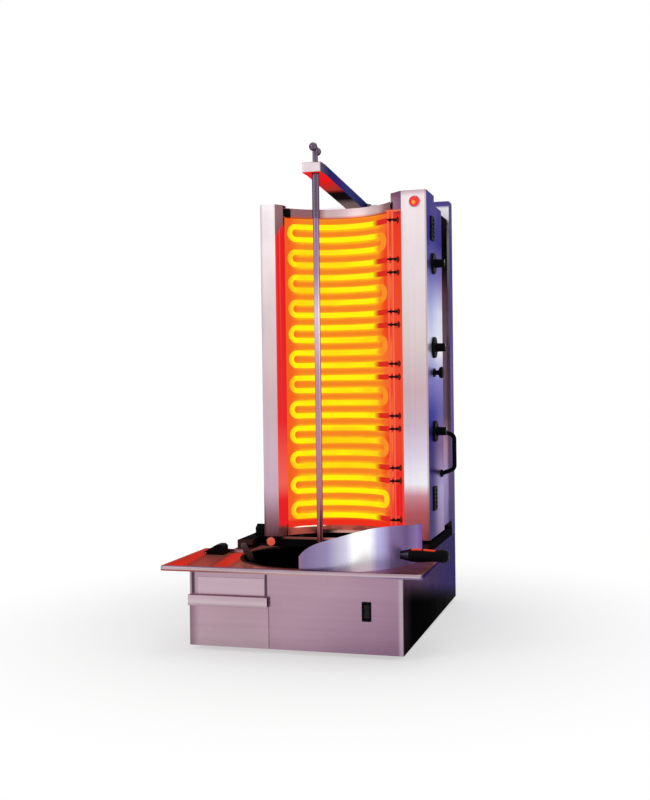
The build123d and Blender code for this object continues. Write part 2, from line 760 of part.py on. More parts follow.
# Back cover with pressed louvres
cover_y = rear_y + rear_depth
louvre_count = 9
louvre_length = 150.0
louvre_pitch = 26.0
with BuildPart() as back_cover:
    with BuildSketch(Plane.XZ.offset(-cover_y)):
        with Locations((housing_middle, (deck + rear_top) / 2)):
            RectangleRounded(housing_width, rear_top - deck - 2.0, 6.0)
        with Locations((0, rear_top)):
            Rectangle(saddle_width + 2.0, 2 * (rear_top - saddle_bottom + 1.0), mode=Mode.SUBTRACT)
    extrude(amount=-sheet)
    for column_x in (housing_middle - 95.0, housing_middle + 95.0):
        for number in range(louvre_count):
            louvre_z = rear_top - 150.0 - number * louvre_pitch
            with BuildSketch(Plane.YZ.offset(column_x - louvre_length / 2)):
                with BuildLine():
                    Polyline(
                        (cover_y + sheet, louvre_z + 12.0),
                        (cover_y + sheet + 3.5, louvre_z),
                        (cover_y + sheet, louvre_z),
                        close=True,
                    )
                make_face()
            extrude(amount=louvre_length)
            with BuildSketch(Plane.YZ.offset(column_x - louvre_length / 2 + 2.0)):
                with BuildLine():
                    Polyline(
                        (cover_y - 1.0, louvre_z + 8.0),
                        (cover_y + sheet + 2.2, louvre_z - 0.5),
                        (cover_y - 1.0, louvre_z - 0.5),
                        close=True,
                    )
                make_face()
            extrude(amount=louvre_length - 4.0, mode=Mode.SUBTRACT)
back_cover.part.label = "back_cover"
export_step(back_cover.part, "parts/back_cover.step")

# Sleeve: the thin inner box on the rear housing, over which the heater head slides
sleeve_sheet = 1.5
with BuildPart() as sleeve:
    with BuildSketch(Plane.XZ.offset(-head_rear + sleeve_overlap)):
        with Locations(((sleeve_left + sleeve_right) / 2, (sleeve_bottom + sleeve_top) / 2)):
            Rectangle(sleeve_right - sleeve_left, sleeve_top - sleeve_bottom)
            Rectangle(
                sleeve_right - sleeve_left - 2 * sleeve_sheet,
                sleeve_top - sleeve_bottom - 2 * sleeve_sheet,
                mode=Mode.SUBTRACT,
            )
    extrude(amount=-(rear_y - head_rear + sleeve_overlap))
sleeve.part.label = "sleeve"
export_step(sleeve.part, "parts/sleeve.step")

# Left post and control column: closed folded tubes with a slanted inner face
cap = 2.0
post_depth = 46.0
knob_y = head_y + 21.0
knob_z = 219.0
stud_radius = 4.0
with BuildPart() as left_post:
    with BuildSketch(Plane.XY.offset(head_bottom)):
        with BuildLine():
            Polyline(
                (head_left, head_y),
                (head_left + left_post_width, head_y),
                (head_left + left_post_width + left_cheek_width, head_y + left_cheek_depth),
                (head_left + left_post_width + left_cheek_width, head_y + post_depth),
                (head_left, head_y + post_depth),
                close=True,
            )
        make_face()
        offset(amount=-sheet, kind=Kind.INTERSECTION, mode=Mode.SUBTRACT)
    extrude(amount=left_post_height - head_bottom - cap)
    with BuildSketch(Plane.XY.offset(left_post_height - cap)):
        with BuildLine():
            Polyline(
                (head_left, head_y),
                (head_left + left_post_width, head_y),
                (head_left + left_post_width + left_cheek_width, head_y + left_cheek_depth),
                (head_left + left_post_width + left_cheek_width, head_y + post_depth),
                (head_left, head_y + post_depth),
                close=True,
            )
        make_face()
    extrude(amount=cap)
    with BuildSketch(Plane.YZ.offset(head_left - 1.0)):
        with Locations((knob_y, knob_z)):
            Circle(stud_radius + running_clearance)
    extrude(amount=sheet + 2.0, mode=Mode.SUBTRACT)
left_post.part.label = "left_post"
export_step(left_post.part, "parts/left_post.step")

grille_y = head_y + 76.0
grille_low = 303.0
grille_high = 978.0
grille_width = 40.0
grille_tall = 60.0
dial_y = base_front + dial_setback
button_radius = 6.0
pilot_x = 221.0
pilot_z = 1036.0
bezel_radius = 14.0
bezel_wall = 2.5
path_radius = arc_radius - element_gap
sweep_end_x = path_radius * sin(radians(element_half_angle))
sweep_end_y = path_radius * cos(radians(element_half_angle))
lead_x = arc_middle + sweep_end_x + cold_lead * cos(radians(element_half_angle))
lead_y = arc_centre_y + sweep_end_y - cold_lead * sin(radians(element_half_angle))
cold_y = lead_y - cold_bend_radius * (1 - cos(radians(element_half_angle)))
element_pitch = legs_per_element * leg_pitch
terminal_heights = []
for number in range(element_count):
    terminal_heights.append(first_leg - number * element_pitch)
    terminal_heights.append(first_leg - number * element_pitch - (legs_per_element - 1) * leg_pitch)
dial_heights = [dial_top - number * dial_pitch for number in range(dial_count)]

with BuildPart() as control_column:
    with BuildSketch(Plane.XY.offset(head_bottom)):
        with BuildLine():
            Polyline(
                (column_left - column_chamfer, head_y + column_chamfer),
                (column_left, head_y),
                (half_base, head_y),
                (half_base, head_y + column_depth),
                (column_left - column_chamfer, head_y + column_depth),
                close=True,
            )
        make_face()
        offset(amount=-sheet, kind=Kind.INTERSECTION, mode=Mode.SUBTRACT)
    extrude(amount=column_height - head_bottom - cap)
    with BuildSketch(Plane.XY.offset(column_height - cap)):
        with BuildLine():
            Polyline(
                (column_left - column_chamfer, head_y + column_chamfer),
                (column_left, head_y),
                (half_base, head_y),
                (half_base, head_y + column_depth),
                (column_left - column_chamfer, head_y + column_depth),
                close=True,
            )
        make_face()
    extrude(amount=cap)
    with BuildSketch(Plane.YZ.offset(half_base - sheet - 1.0)):
        with Locations((grille_y, grille_high), (grille_y, grille_low)):
            Rectangle(grille_width - 8.0, grille_tall - 8.0)
        with Locations(*[(dial_y, height) for height in dial_heights]):
            Circle(shaft_radius + 0.6)
        with Locations((dial_y, button_height)):
            Circle(button_radius + seat_gap)
    extrude(amount=sheet + 2.0, mode=Mode.SUBTRACT)
    with BuildSketch(Plane.YZ.offset(column_left - column_chamfer - 1.0)):
        with Locations(*[(cold_y, height) for height in terminal_heights]):
            Circle(collar_radius + 0.2)
    extrude(amount=column_chamfer, mode=Mode.SUBTRACT)
    with BuildSketch(Plane.XZ.offset(-head_y + 1.0)):
        with Locations((pilot_x, pilot_z)):
            Circle(bezel_radius - bezel_wall - 2.0)
    extrude(amount=-(sheet + 2.0), mode=Mode.SUBTRACT)
control_column.part.label = "control_column"
export_step(control_column.part, "parts/control_column.step")

# Side panel behind the column, and the head's casing: left side, roof and bottom in one folded sheet
with BuildPart() as side_panel:
    with BuildSketch(Plane.YZ.offset(half_base - sheet)):
        with Locations(((head_y + column_depth + head_rear) / 2, (head_bottom + roof_height) / 2)):
            Rectangle(head_depth - column_depth, roof_height - head_bottom)
    extrude(amount=sheet)
side_panel.part.label = "side_panel"
export_step(side_panel.part, "parts/side_panel.step")

casing_front = head_y + post_depth
column_rear = head_y + column_depth
plate_front = head_y + column_chamfer + 2.0
post_right = head_left + left_post_width + left_cheek_width
column_inner = column_left - column_chamfer
with BuildPart() as head_casing:
    for level in (head_bottom, roof_height - sheet):
        with BuildSketch(Plane.XY.offset(level)):
            with Locations(((head_left + half_base) / 2, (plate_front + head_rear) / 2)):
                Rectangle(half_base - head_left - 2 * sheet, head_rear - plate_front)
            with Locations((arc_middle, arc_centre_y)):
                Circle(arc_radius + sheet, mode=Mode.SUBTRACT)
            with Locations((post_right - 100.0, casing_front - 100.0)):
                Rectangle(200.0, 200.0, mode=Mode.SUBTRACT)
            with Locations((column_inner + 100.0, column_rear - 100.0)):
                Rectangle(200.0, 200.0, mode=Mode.SUBTRACT)
        extrude(amount=sheet)
    with BuildSketch(Plane.YZ.offset(head_left)):
        with Locations(((casing_front + head_rear) / 2, (head_bottom + roof_height) / 2)):
            Rectangle(head_rear - casing_front, roof_height - head_bottom)
    extrude(amount=sheet)
head_casing.part.label = "head_casing"
export_step(head_casing.part, "parts/head_casing.step")

# Concave bands above and below the glow, and the reflector between them
band_left = post_right + seat_gap
band_right = column_inner - seat_gap
lip_width = 4.0
lip_thickness = 1.5
reflector_sheet = 1.5
band_overlap = 8.0


def arc_strip(inner, thickness, level):
    """Sketch of a strip that follows the concave arc between the posts, seen from above."""
    with BuildSketch(Plane.XY.offset(level)) as strip:
        with Locations((arc_middle, arc_centre_y)):
            Circle(inner + thickness)
            Circle(inner, mode=Mode.SUBTRACT)
        with Locations(((band_left + band_right) / 2, head_y + left_cheek_depth + 100.0)):
            Rectangle(band_right - band_left, 200.0, mode=Mode.INTERSECT)
    return strip.sketch


with BuildPart() as top_band:
    extrude(arc_strip(arc_radius, sheet, top_band_bottom), amount=top_band_top - top_band_bottom)
    extrude(arc_strip(arc_radius - lip_width, lip_width, top_band_bottom), amount=lip_thickness)
top_band.part.label = "top_band"
export_step(top_band.part, "parts/top_band.step")

with BuildPart() as bottom_band:
    extrude(arc_strip(arc_radius, sheet, head_bottom), amount=bottom_band_top - head_bottom)
    extrude(arc_strip(arc_radius - lip_width, lip_width, bottom_band_top), amount=-lip_thickness)
bottom_band.part.label = "bottom_band"
export_step(bottom_band.part, "parts/bottom_band.step")

with BuildPart() as reflector:
    strip = arc_strip(arc_radius + reflector_gap, reflector_sheet, bottom_band_top - band_overlap)
    extrude(strip, amount=top_band_bottom - bottom_band_top + 2 * band_overlap)
reflector.part.label = "reflector"
export_step(reflector.part, "parts/reflector.step")

# Six serpentine elements, each bent from one tube: four bowed legs, joined by half-turn bends, with both cold
# ends led into the control column
half_angle = radians(element_half_angle)
bend = leg_pitch / 2
left_point = (arc_middle - sweep_end_x, arc_centre_y + sweep_end_y)
right_point = (arc_middle + sweep_end_x, arc_centre_y + sweep_end_y)
middle_point = (arc_middle, arc_centre_y + path_radius)
lead_point = (lead_x, lead_y)
cold_centre = (lead_x + cold_bend_radius * sin(half_angle), lead_y + cold_bend_radius * cos(half_angle))
cold_middle = (
    cold_centre[0] - cold_bend_radius * sin(half_angle / 2),
    cold_centre[1] - cold_bend_radius * cos(half_angle / 2),
)


def leg_arc(start, end, height):
    """One bowed leg of an element, across the arc at one height."""
    ThreePointArc((*start, height), (*middle_point, height), (*end, height))


def half_turn(point, side, height):
    """The bend at the end of a leg, down to the leg below; side is -1 at the left and 1 at the right."""
    tip = (point[0] + side * bend * cos(half_angle), point[1] - bend * sin(half_angle), height - bend)
    ThreePointArc((*point, height), tip, (*point, height - leg_pitch))


for number in range(element_count):
    top_leg = first_leg - number * element_pitch
    last_leg = top_leg - 3 * leg_pitch
    with BuildPart() as element:
        with BuildLine() as route:
            Line((cold_end_depth, cold_y, top_leg), (cold_centre[0], cold_y, top_leg))
            ThreePointArc((cold_centre[0], cold_y, top_leg), (*cold_middle, top_leg), (*lead_point, top_leg))
            Line((*lead_point, top_leg), (*right_point, top_leg))
            leg_arc(right_point, left_point, top_leg)
            half_turn(left_point, -1, top_leg)
            leg_arc(left_point, right_point, top_leg - leg_pitch)
            half_turn(right_point, 1, top_leg - leg_pitch)
            leg_arc(right_point, left_point, top_leg - 2 * leg_pitch)
            half_turn(left_point, -1, top_leg - 2 * leg_pitch)
            leg_arc(left_point, right_point, last_leg)
            Line((*right_point, last_leg), (*lead_point, last_leg))
            ThreePointArc((*lead_point, last_leg), (*cold_middle, last_leg), (cold_centre[0], cold_y, last_leg))
            Line((cold_centre[0], cold_y, last_leg), (cold_end_depth, cold_y, last_leg))
        with BuildSketch(Plane(origin=(cold_end_depth, cold_y, top_leg), z_dir=(-1, 0, 0))):
            Circle(element_radius)
        sweep()
    element.part.label = f"element_{number + 1}"
    export_step(element.part, f"parts/element_{number + 1}.step")

with BuildPart() as element_collars:
    with BuildSketch(Plane.YZ.offset(cold_centre[0] + seat_gap)):
        with Locations(*[(cold_y, height) for height in terminal_heights]):
            Circle(collar_radius)
            Circle(element_radius + running_clearance, mode=Mode.SUBTRACT)
    extrude(amount=20.0)
element_collars.part.label = "element_collars"
export_step(element_collars.part, "parts/element_collars.step")

# Two upright rods with their end tabs, in front of the cold ends
rod_y = cold_y - collar_radius - rod_radius - 0.5
rod_first_x = column_inner - 1.0
rod_second_x = rod_first_x + 11.0
tab_thickness = 3.0
tab_rear = head_y + column_chamfer - 1.5
chamfer_sum = column_left + head_y - 0.4
with BuildPart() as element_rods:
    with BuildSketch(Plane.XY.offset(bottom_band_top)):
        with Locations((rod_first_x, rod_y), (rod_second_x, rod_y)):
            Circle(rod_radius)
    extrude(amount=top_band_bottom - bottom_band_top)
    for level in (bottom_band_top, top_band_bottom - tab_thickness):
        with BuildSketch(Plane.XY.offset(level)):
            with BuildLine():
                Polyline(
                    (rod_first_x - 5.0, rod_y - 4.0),
                    (chamfer_sum - rod_y + 4.0, rod_y - 4.0),
                    (chamfer_sum - tab_rear, tab_rear),
                    (rod_first_x - 5.0, tab_rear),
                    close=True,
                )
            make_face()
        extrude(amount=tab_thickness)
element_rods.part.label = "element_rods"
export_step(element_rods.part, "parts/element_rods.step")

# Lamps: a steel bezel and a domed lens, one high on the column, one at the foot of the left post
foot_lamp_x = -160.0
foot_lamp_z = 194.0
foot_bezel_radius = 12.7
fascia_front = head_y + 3.0
lamp_places = (
    (pilot_x, head_y, pilot_z, bezel_radius),
    (foot_lamp_x, fascia_front, foot_lamp_z, foot_bezel_radius),
)
bezel_proud = 4.0
with BuildPart() as lamp_bezels:
    for lamp_x, lamp_y, lamp_z, lamp_radius in lamp_places:
        with BuildSketch(Plane.XZ.offset(-lamp_y)):
            with Locations((lamp_x, lamp_z)):
                Circle(lamp_radius)
                Circle(lamp_radius - bezel_wall + running_clearance, mode=Mode.SUBTRACT)
        extrude(amount=bezel_proud, taper=12)
lamp_bezels.part.label = "lamp_bezels"
export_step(lamp_bezels.part, "parts/lamp_bezels.step")

with BuildPart() as lamp_lenses:
    for lamp_x, lamp_y, lamp_z, lamp_radius in lamp_places:
        lens_radius = lamp_radius - bezel_wall
        with BuildSketch(Plane.YZ.offset(lamp_x)):
            with BuildLine():
                Polyline(
                    (lamp_y - bezel_proud, lamp_z + lens_radius),
                    (lamp_y, lamp_z + lens_radius),
                    (lamp_y, lamp_z),
                    (lamp_y - bezel_proud - 4.0, lamp_z),
                )
                ThreePointArc(
                    (lamp_y - bezel_proud - 4.0, lamp_z),
                    (lamp_y - bezel_proud - 3.0, lamp_z + lens_radius * 0.6),
                    (lamp_y - bezel_proud, lamp_z + lens_radius),
                )
            make_face()
        revolve(axis=Axis((lamp_x, lamp_y, lamp_z), (0, 1, 0)))
lamp_lenses.part.label = "lamp_lenses"
export_step(lamp_lenses.part, "parts/lamp_lenses.step")

# Dials: a skirt, a fluted grip with a pointer groove, and a shaft into the switch behind the panel
shaft_length = 18.0
for number, dial_z in enumerate(dial_heights):
    with BuildPart() as dial:
        with BuildSketch(Plane.YZ.offset(half_base + seat_gap)):
            with Locations((dial_y, dial_z)):
                Circle(dial_skirt_radius)
        extrude(amount=dial_skirt_height, taper=14)
        with BuildSketch(Plane.YZ.offset(half_base + seat_gap + dial_skirt_height)):
            with Locations((dial_y, dial_z)):
                Circle(dial_grip_radius)
                with PolarLocations(dial_grip_radius + 1.2, 8, start_angle=22.5):
                    Circle(2.6, mode=Mode.SUBTRACT)
        extrude(amount=dial_grip_length, taper=2)
        with BuildSketch(Plane.YZ.offset(half_base + seat_gap)):
            with Locations((dial_y, dial_z)):
                Circle(shaft_radius)
        extrude(amount=-shaft_length)
        with BuildSketch(Plane.YZ.offset(half_base + seat_gap + dial_skirt_height + dial_grip_length)):
            with Locations((dial_y, dial_z + dial_grip_radius / 2)):
                Rectangle(1.6, dial_grip_radius)
        extrude(amount=-1.2, mode=Mode.SUBTRACT)
    dial.part.label = f"dial_{number + 1}"
    export_step(dial.part, f"parts/dial_{number + 1}.step")

# Mushroom button between the second and third dials, with its contact block behind the panel
with BuildPart() as stop_button:
    with BuildSketch(Plane.XZ.offset(-dial_y)):
        with BuildLine():
            Polyline(
                (half_base - 12.0, button_height),
                (half_base - 12.0, button_height + button_radius),
                (half_base + 11.0, button_height + button_radius),
                (half_base + 14.0, button_height + 13.0),
                (half_base + 20.0, button_height + 15.0),
                (half_base + 23.0, button_height + 12.0),
                (half_base + 24.0, button_height),
                close=True,
            )
        make_face()
    revolve(axis=Axis((half_base, dial_y, button_height), (1, 0, 0)))
stop_button.part.label = "stop_button"
export_step(stop_button.part, "parts/stop_button.step")

# Switch blocks behind the panel, and the collar round the button
switch_side = 34.0
switch_depth = 26.0
with BuildPart() as panel_switches:
    with BuildSketch(Plane.YZ.offset(half_base - sheet)):
        with Locations(*[(dial_y, height) for height in dial_heights]):
            RectangleRounded(switch_side, switch_side, 4.0)
            Circle(shaft_radius + running_clearance, mode=Mode.SUBTRACT)
        with Locations((dial_y, button_height)):
            RectangleRounded(switch_side - 4.0, switch_side - 4.0, 3.0)
            Circle(button_radius + seat_gap, mode=Mode.SUBTRACT)
    extrude(amount=-switch_depth)
    with BuildSketch(Plane.YZ.offset(half_base)):
        with Locations((dial_y, button_height)):
            Circle(11.0)
            Circle(button_radius + seat_gap, mode=Mode.SUBTRACT)
    extrude(amount=3.0)
panel_switches.part.label = "panel_switches"
export_step(panel_switches.part, "parts/panel_switches.step")

# Two black grilles with sloped slats on the column's side
grille_slats = 5
grille_thickness = 3.0
grille_slot_depth = 2.0
with BuildPart() as side_grilles:
    for level in (grille_high, grille_low):
        with BuildSketch(Plane.YZ.offset(half_base)):
            with Locations((grille_y, level)):
                RectangleRounded(grille_width, grille_tall, 3.0)
        extrude(amount=grille_thickness)
        with BuildSketch(Plane.YZ.offset(half_base + grille_thickness)):
            with Locations((grille_y, level)):
                with GridLocations(0, grille_tall / (grille_slats + 1), 1, grille_slats):
                    SlotOverall(grille_width - 10.0, 5.0)
        extrude(amount=-grille_slot_depth, mode=Mode.SUBTRACT)
side_grilles.part.label = "side_grilles"
export_step(side_grilles.part, "parts/side_grilles.step")

# Bow handle on the side panel, with round foot plates
handle_y = base_front + handle_setback
foot_plate = 3.0
with BuildPart() as bow_handle:
    with BuildLine():
        FilletPolyline(
            (half_base + foot_plate, handle_y, handle_low),
            (half_base + handle_reach, handle_y, handle_low + 12.0),
            (half_base + handle_reach, handle_y, handle_high - 12.0),
            (half_base + foot_plate, handle_y, handle_high),
            radius=14.0,
        )
    with BuildSketch(Plane(origin=(half_base + foot_plate, handle_y, handle_low), z_dir=(handle_reach - foot_plate, 0, 12.0))):
        Circle(handle_radius)
    sweep()
    with BuildSketch(Plane.YZ.offset(half_base)):
        with Locations((handle_y, handle_low), (handle_y, handle_high)):
            Circle(10.0)
    extrude(amount=foot_plate + 2.0, taper=15)
bow_handle.part.label = "bow_handle"
export_step(bow_handle.part, "parts/bow_handle.step")

# Rails on the deck, and the carriage that runs in their slots
rail_start = base_front + rail_front
rail_length = base_rear - 10.0 - rail_start
carriage_low = deck + carriage_floor
carriage_high = carriage_low + carriage_thickness
rail_left_x = -240.0
rail_right_x = half_base - rail_width
with BuildPart() as rails:
    for side, outer in ((1, rail_left_x), (-1, half_base)):
        with BuildSketch(Plane.XZ.offset(-rail_start)):
            with BuildLine():
                Polyline(
                    (outer, deck),
                    (outer + side * rail_width, deck),
                    (outer + side * rail_width, carriage_low - seat_gap),
                    (outer + side * (rail_width - rail_slot_depth), carriage_low - seat_gap),
                    (outer + side * (rail_width - rail_slot_depth), carriage_high + seat_gap),
                    (outer + side * rail_width, carriage_high + seat_gap),
                    (outer + side * rail_width, deck + rail_height),
                    (outer, deck + rail_height),
                    close=True,
                )
            make_face()
        extrude(amount=-(rear_y - rail_start - 2.0))
rails.part.label = "rails"
export_step(rails.part, "parts/rails.step")

carriage_front = head_y + 6.0
plate_left = rail_left_x + rail_width - rail_slot_depth + seat_gap
plate_right = rail_right_x + rail_slot_depth - seat_gap
riser_width = 20.0
riser_left = head_left + 17.0
riser_right = rail_right_x - 20.0
with BuildPart() as carriage:
    with BuildSketch(Plane.XY.offset(carriage_low)):
        with Locations(((plate_left + plate_right) / 2, (carriage_front + head_rear) / 2)):
            Rectangle(plate_right - plate_left, head_rear - carriage_front)
        with Locations((arc_middle, (carriage_front + head_rear) / 2 + 40.0)):
            Rectangle(220.0, 60.0, mode=Mode.SUBTRACT)
    extrude(amount=carriage_thickness)
    with BuildSketch(Plane.XY.offset(carriage_high)):
        with Locations((riser_left, (carriage_front + head_rear) / 2), (riser_right, (carriage_front + head_rear) / 2)):
            Rectangle(riser_width, head_rear - carriage_front)
    extrude(amount=head_bottom - carriage_high)
carriage.part.label = "carriage"
export_step(carriage.part, "parts/carriage.step")

with BuildPart() as carriage_fascia:
    with BuildSketch(Plane.XZ.offset(-carriage_front)):
        with Locations(((head_left + rail_right_x) / 2, (floor_top + 2.5 + head_bottom) / 2)):
            Rectangle(rail_right_x - head_left - 12.0, head_bottom - floor_top - 3.0)
    extrude(amount=3.0)
carriage_fascia.part.label = "carriage_fascia"
export_step(carriage_fascia.part, "parts/carriage_fascia.step")

# Lock knob at the left: a lobed knob on a stud that clamps the head to its place
knob_radius = 17.0
with BuildPart() as lock_knob:
    with BuildSketch(Plane.YZ.offset(head_left - 4.0)):
        with Locations((knob_y, knob_z)):
            Circle(knob_radius)
            with PolarLocations(knob_radius + 2.5, 6):
                Circle(5.0, mode=Mode.SUBTRACT)
    extrude(amount=-22.0)
    with BuildSketch(Plane.YZ.offset(head_left - seat_gap)):
        with Locations((knob_y, knob_z)):
            Circle(9.0)
    extrude(amount=-4.0)
    with BuildSketch(Plane.YZ.offset(head_left - seat_gap)):
        with Locations((knob_y, knob_z)):
            Circle(stud_radius)
    extrude(amount=14.0)
lock_knob.part.label = "lock_knob"
export_step(lock_knob.part, "parts/lock_knob.step")

with BuildPart() as lock_nut:
    with BuildSketch(Plane.YZ.offset(head_left + sheet)):
        with Locations((knob_y, knob_z)):
            RegularPolygon(8.0, 6)
            Circle(stud_radius + running_clearance, mode=Mode.SUBTRACT)
    extrude(amount=10.0)
lock_nut.part.label = "lock_nut"
export_step(lock_nut.part, "parts/lock_nut.step")

# Cable gland and terminal block at the rear
gland_z = deck - 60.0
gland_x = 170.0
with BuildPart() as cable_gland:
    with BuildSketch(Plane.XZ.offset(-base_rear)):
        with Locations((gland_x, gland_z)):
            RegularPolygon(gland_radius + 3.0, 6)
    extrude(amount=-7.0)
    with BuildSketch(Plane.XZ.offset(-base_rear - 7.0)):
        with Locations((gland_x, gland_z)):
            Circle(gland_radius)
    extrude(amount=-(gland_length - 7.0), taper=14)
    with BuildSketch(Plane.XZ.offset(-base_rear)):
        with Locations((gland_x, gland_z)):
            Circle(gland_radius - seat_gap)
    extrude(amount=12.0)
    with BuildSketch(Plane.XZ.offset(-base_rear + 14.0)):
        with Locations((gland_x, gland_z)):
            Circle(6.5)
    extrude(amount=-40.0, mode=Mode.SUBTRACT)
cable_gland.part.label = "cable_gland"
export_step(cable_gland.part, "parts/cable_gland.step")

with BuildPart() as terminal_block:
    with BuildSketch(Plane.XY.offset(floor_plate)):
        with Locations((gland_x - 30.0, base_rear - 70.0)):
            Rectangle(90.0, 40.0)
    extrude(amount=34.0)
    with BuildSketch(Plane.XY.offset(floor_plate + 34.0)):
        with Locations((gland_x - 30.0, base_rear - 70.0)):
            with GridLocations(16.0, 20.0, 5, 2):
                Rectangle(10.0, 12.0)
    extrude(amount=-8.0, mode=Mode.SUBTRACT)
terminal_block.part.label = "terminal_block"
export_step(terminal_block.part, "parts/terminal_block.step")

# Domed screws of the back cover, and hexagon bolts through the cheeks of the saddle
screw_radius = 4.5
with BuildPart() as fixings:
    with BuildSketch(Plane.XZ.offset(-cover_y - sheet)):
        with Locations((housing_middle, (deck + saddle_bottom) / 2)):
            with GridLocations(housing_width - 24.0, (saddle_bottom - deck - 40.0) / 3, 2, 4):
                Circle(screw_radius)
    extrude(amount=-2.5, taper=30)
    with BuildSketch(Plane.XY.offset(rear_top)):
        with Locations((-saddle_width / 2 - 10.0, rear_y + rear_depth / 2), (saddle_width / 2 + 10.0, rear_y + rear_depth / 2)):
            RegularPolygon(6.5, 6)
    extrude(amount=4.5)
fixings.part.label = "fixings"
export_step(fixings.part, "parts/fixings.step")
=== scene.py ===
# %% [markdown]
# An electric grill for meat on an upright spit. Its shapes come from the CAD model, in metres, and
# this lesson gives them their looks. A camera could be placed by eye, but here it was worked out
# first from the straight edges of the base and of the heater head, so that every piece lands where
# the real one is seen.

import math

import bmesh
import bpy
from mathutils import Matrix, Vector


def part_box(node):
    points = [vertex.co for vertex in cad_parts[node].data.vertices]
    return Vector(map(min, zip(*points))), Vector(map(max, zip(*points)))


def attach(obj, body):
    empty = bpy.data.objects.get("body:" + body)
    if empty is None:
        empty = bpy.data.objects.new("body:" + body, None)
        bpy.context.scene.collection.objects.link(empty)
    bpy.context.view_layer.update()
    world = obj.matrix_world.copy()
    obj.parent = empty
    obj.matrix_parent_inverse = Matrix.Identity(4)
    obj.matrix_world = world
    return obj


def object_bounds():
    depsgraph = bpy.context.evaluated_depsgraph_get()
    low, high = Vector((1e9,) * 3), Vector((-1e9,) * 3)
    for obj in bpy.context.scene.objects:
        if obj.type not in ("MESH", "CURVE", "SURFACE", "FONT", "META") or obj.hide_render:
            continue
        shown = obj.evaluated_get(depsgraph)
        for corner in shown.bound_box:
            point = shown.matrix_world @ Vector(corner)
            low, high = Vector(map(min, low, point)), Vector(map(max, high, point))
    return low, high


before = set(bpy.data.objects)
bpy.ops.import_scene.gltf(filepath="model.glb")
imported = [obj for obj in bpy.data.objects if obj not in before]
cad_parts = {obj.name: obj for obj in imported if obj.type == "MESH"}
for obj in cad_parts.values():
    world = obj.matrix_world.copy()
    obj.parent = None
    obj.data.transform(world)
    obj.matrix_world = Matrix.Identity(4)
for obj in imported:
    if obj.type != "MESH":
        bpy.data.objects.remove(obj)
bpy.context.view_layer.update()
scene = bpy.context.scene
scene.view_settings.view_transform = "Standard"

# %% Set the camera of the photograph
FRAME_WIDTH = 650
FOCAL_PIXELS = 1105.761
EYE = Vector((0.7503, -2.6925, 0.6001))
YAW, PITCH, ROLL = 0.279, -0.017, -0.013

forward = Vector((-math.sin(YAW) * math.cos(PITCH), math.cos(YAW) * math.cos(PITCH),
                  math.sin(PITCH)))
level_right = Vector((math.cos(YAW), math.sin(YAW), 0.0))
level_up = level_right.cross(forward)
right = level_right * math.cos(ROLL) + level_up * math.sin(ROLL)
up = level_up * math.cos(ROLL) - level_right * math.sin(ROLL)

lens = bpy.data.cameras.new("photo_camera")
lens.sensor_fit = "HORIZONTAL"
lens.sensor_width = 36.0
lens.lens = FOCAL_PIXELS * lens.sensor_width / FRAME_WIDTH
camera = bpy.data.objects.new("photo_camera", lens)
camera.matrix_world = Matrix((
    (right.x, up.x, -forward.x, EYE.x),
    (right.y, up.y, -forward.y, EYE.y),
    (right.z, up.z, -forward.z, EYE.z),
    (0.0, 0.0, 0.0, 1.0),
))
scene.collection.objects.link(camera)
scene.camera = camera
print("lens:", round(lens.lens, 2), "mm")

# %% [markdown]
# Node trees get long, so small helpers carry the work: one adds a node and fills or links its
# sockets, one mixes two colours, one brings a number into a range, and one lays colours along a
# distance. Colours are written as they look on a screen, from 0 to 255, and turned into the linear
# values that the shader needs. A named pair of places, such as PAN_FLANGE further down, says where
# a change begins and where it is complete.

# %% Helpers for colours and numbers
def shown(red, green, blue):
    """Linear colour from the levels that a screen shows."""
    return tuple(part / 255 / 12.92 if part < 10.3 else ((part / 255 + 0.055) / 1.055) ** 2.4
                 for part in (red, green, blue))


def add(tree, kind, inputs=None, **settings):
    """Add a node; an input given as a socket is linked, anything else is set on it."""
    made = tree.nodes.new(kind)
    for name, value in settings.items():
        setattr(made, name, value)
    for name, value in (inputs or {}).items():
        feed(tree, value, made.inputs[name])
    return made


def feed(tree, value, socket):
    """Link a socket, or set a number or a colour on it."""
    if isinstance(value, bpy.types.NodeSocket):
        tree.links.new(value, socket)
    elif isinstance(value, tuple) and len(value) == 3 and socket.type == "RGBA":
        socket.default_value = (*value, 1.0)
    else:
        socket.default_value = value


def mixed(tree, amount, first, second, blend="MIX"):
    """Two colours mixed by an amount; each may be a socket or three values."""
    made = add(tree, "ShaderNodeMix", data_type="RGBA", blend_type=blend)
    for index, value in ((0, amount), (6, first), (7, second)):
        feed(tree, value, made.inputs[index])
    return made.outputs[2]


def level(tree, value, low, high, low_out=0.0, high_out=1.0):
    """Bring a value from one range smoothly into another."""
    made = add(tree, "ShaderNodeMapRange", {"Value": value, "From Min": low, "From Max": high,
                                            "To Min": low_out, "To Max": high_out})
    made.interpolation_type = "SMOOTHSTEP"
    return made.outputs[0]


def maths(tree, operation, *values):
    """One step of arithmetic on sockets or numbers."""
    made = add(tree, "ShaderNodeMath", operation=operation)
    for value, socket in zip(values, made.inputs):
        feed(tree, value, socket)
    return made.outputs[0]


def product(tree, first, *others):
    """Sockets or numbers multiplied one after another."""
    for other in others:
        first = maths(tree, "MULTIPLY", first, other)
    return first


def diagonal(tree, first, second):
    """Length of the diagonal over two distances."""
    squares = [maths(tree, "POWER", side, 2.0) for side in (first, second)]
    return maths(tree, "SQRT", maths(tree, "ADD", *squares))


def band(tree, value, middle, half_width, softness):
    """One inside a band about a middle value, falling to zero over the softness."""
    away = maths(tree, "ABSOLUTE", maths(tree, "SUBTRACT", value, middle))
    return level(tree, away, half_width, half_width + softness, 1.0, 0.0)


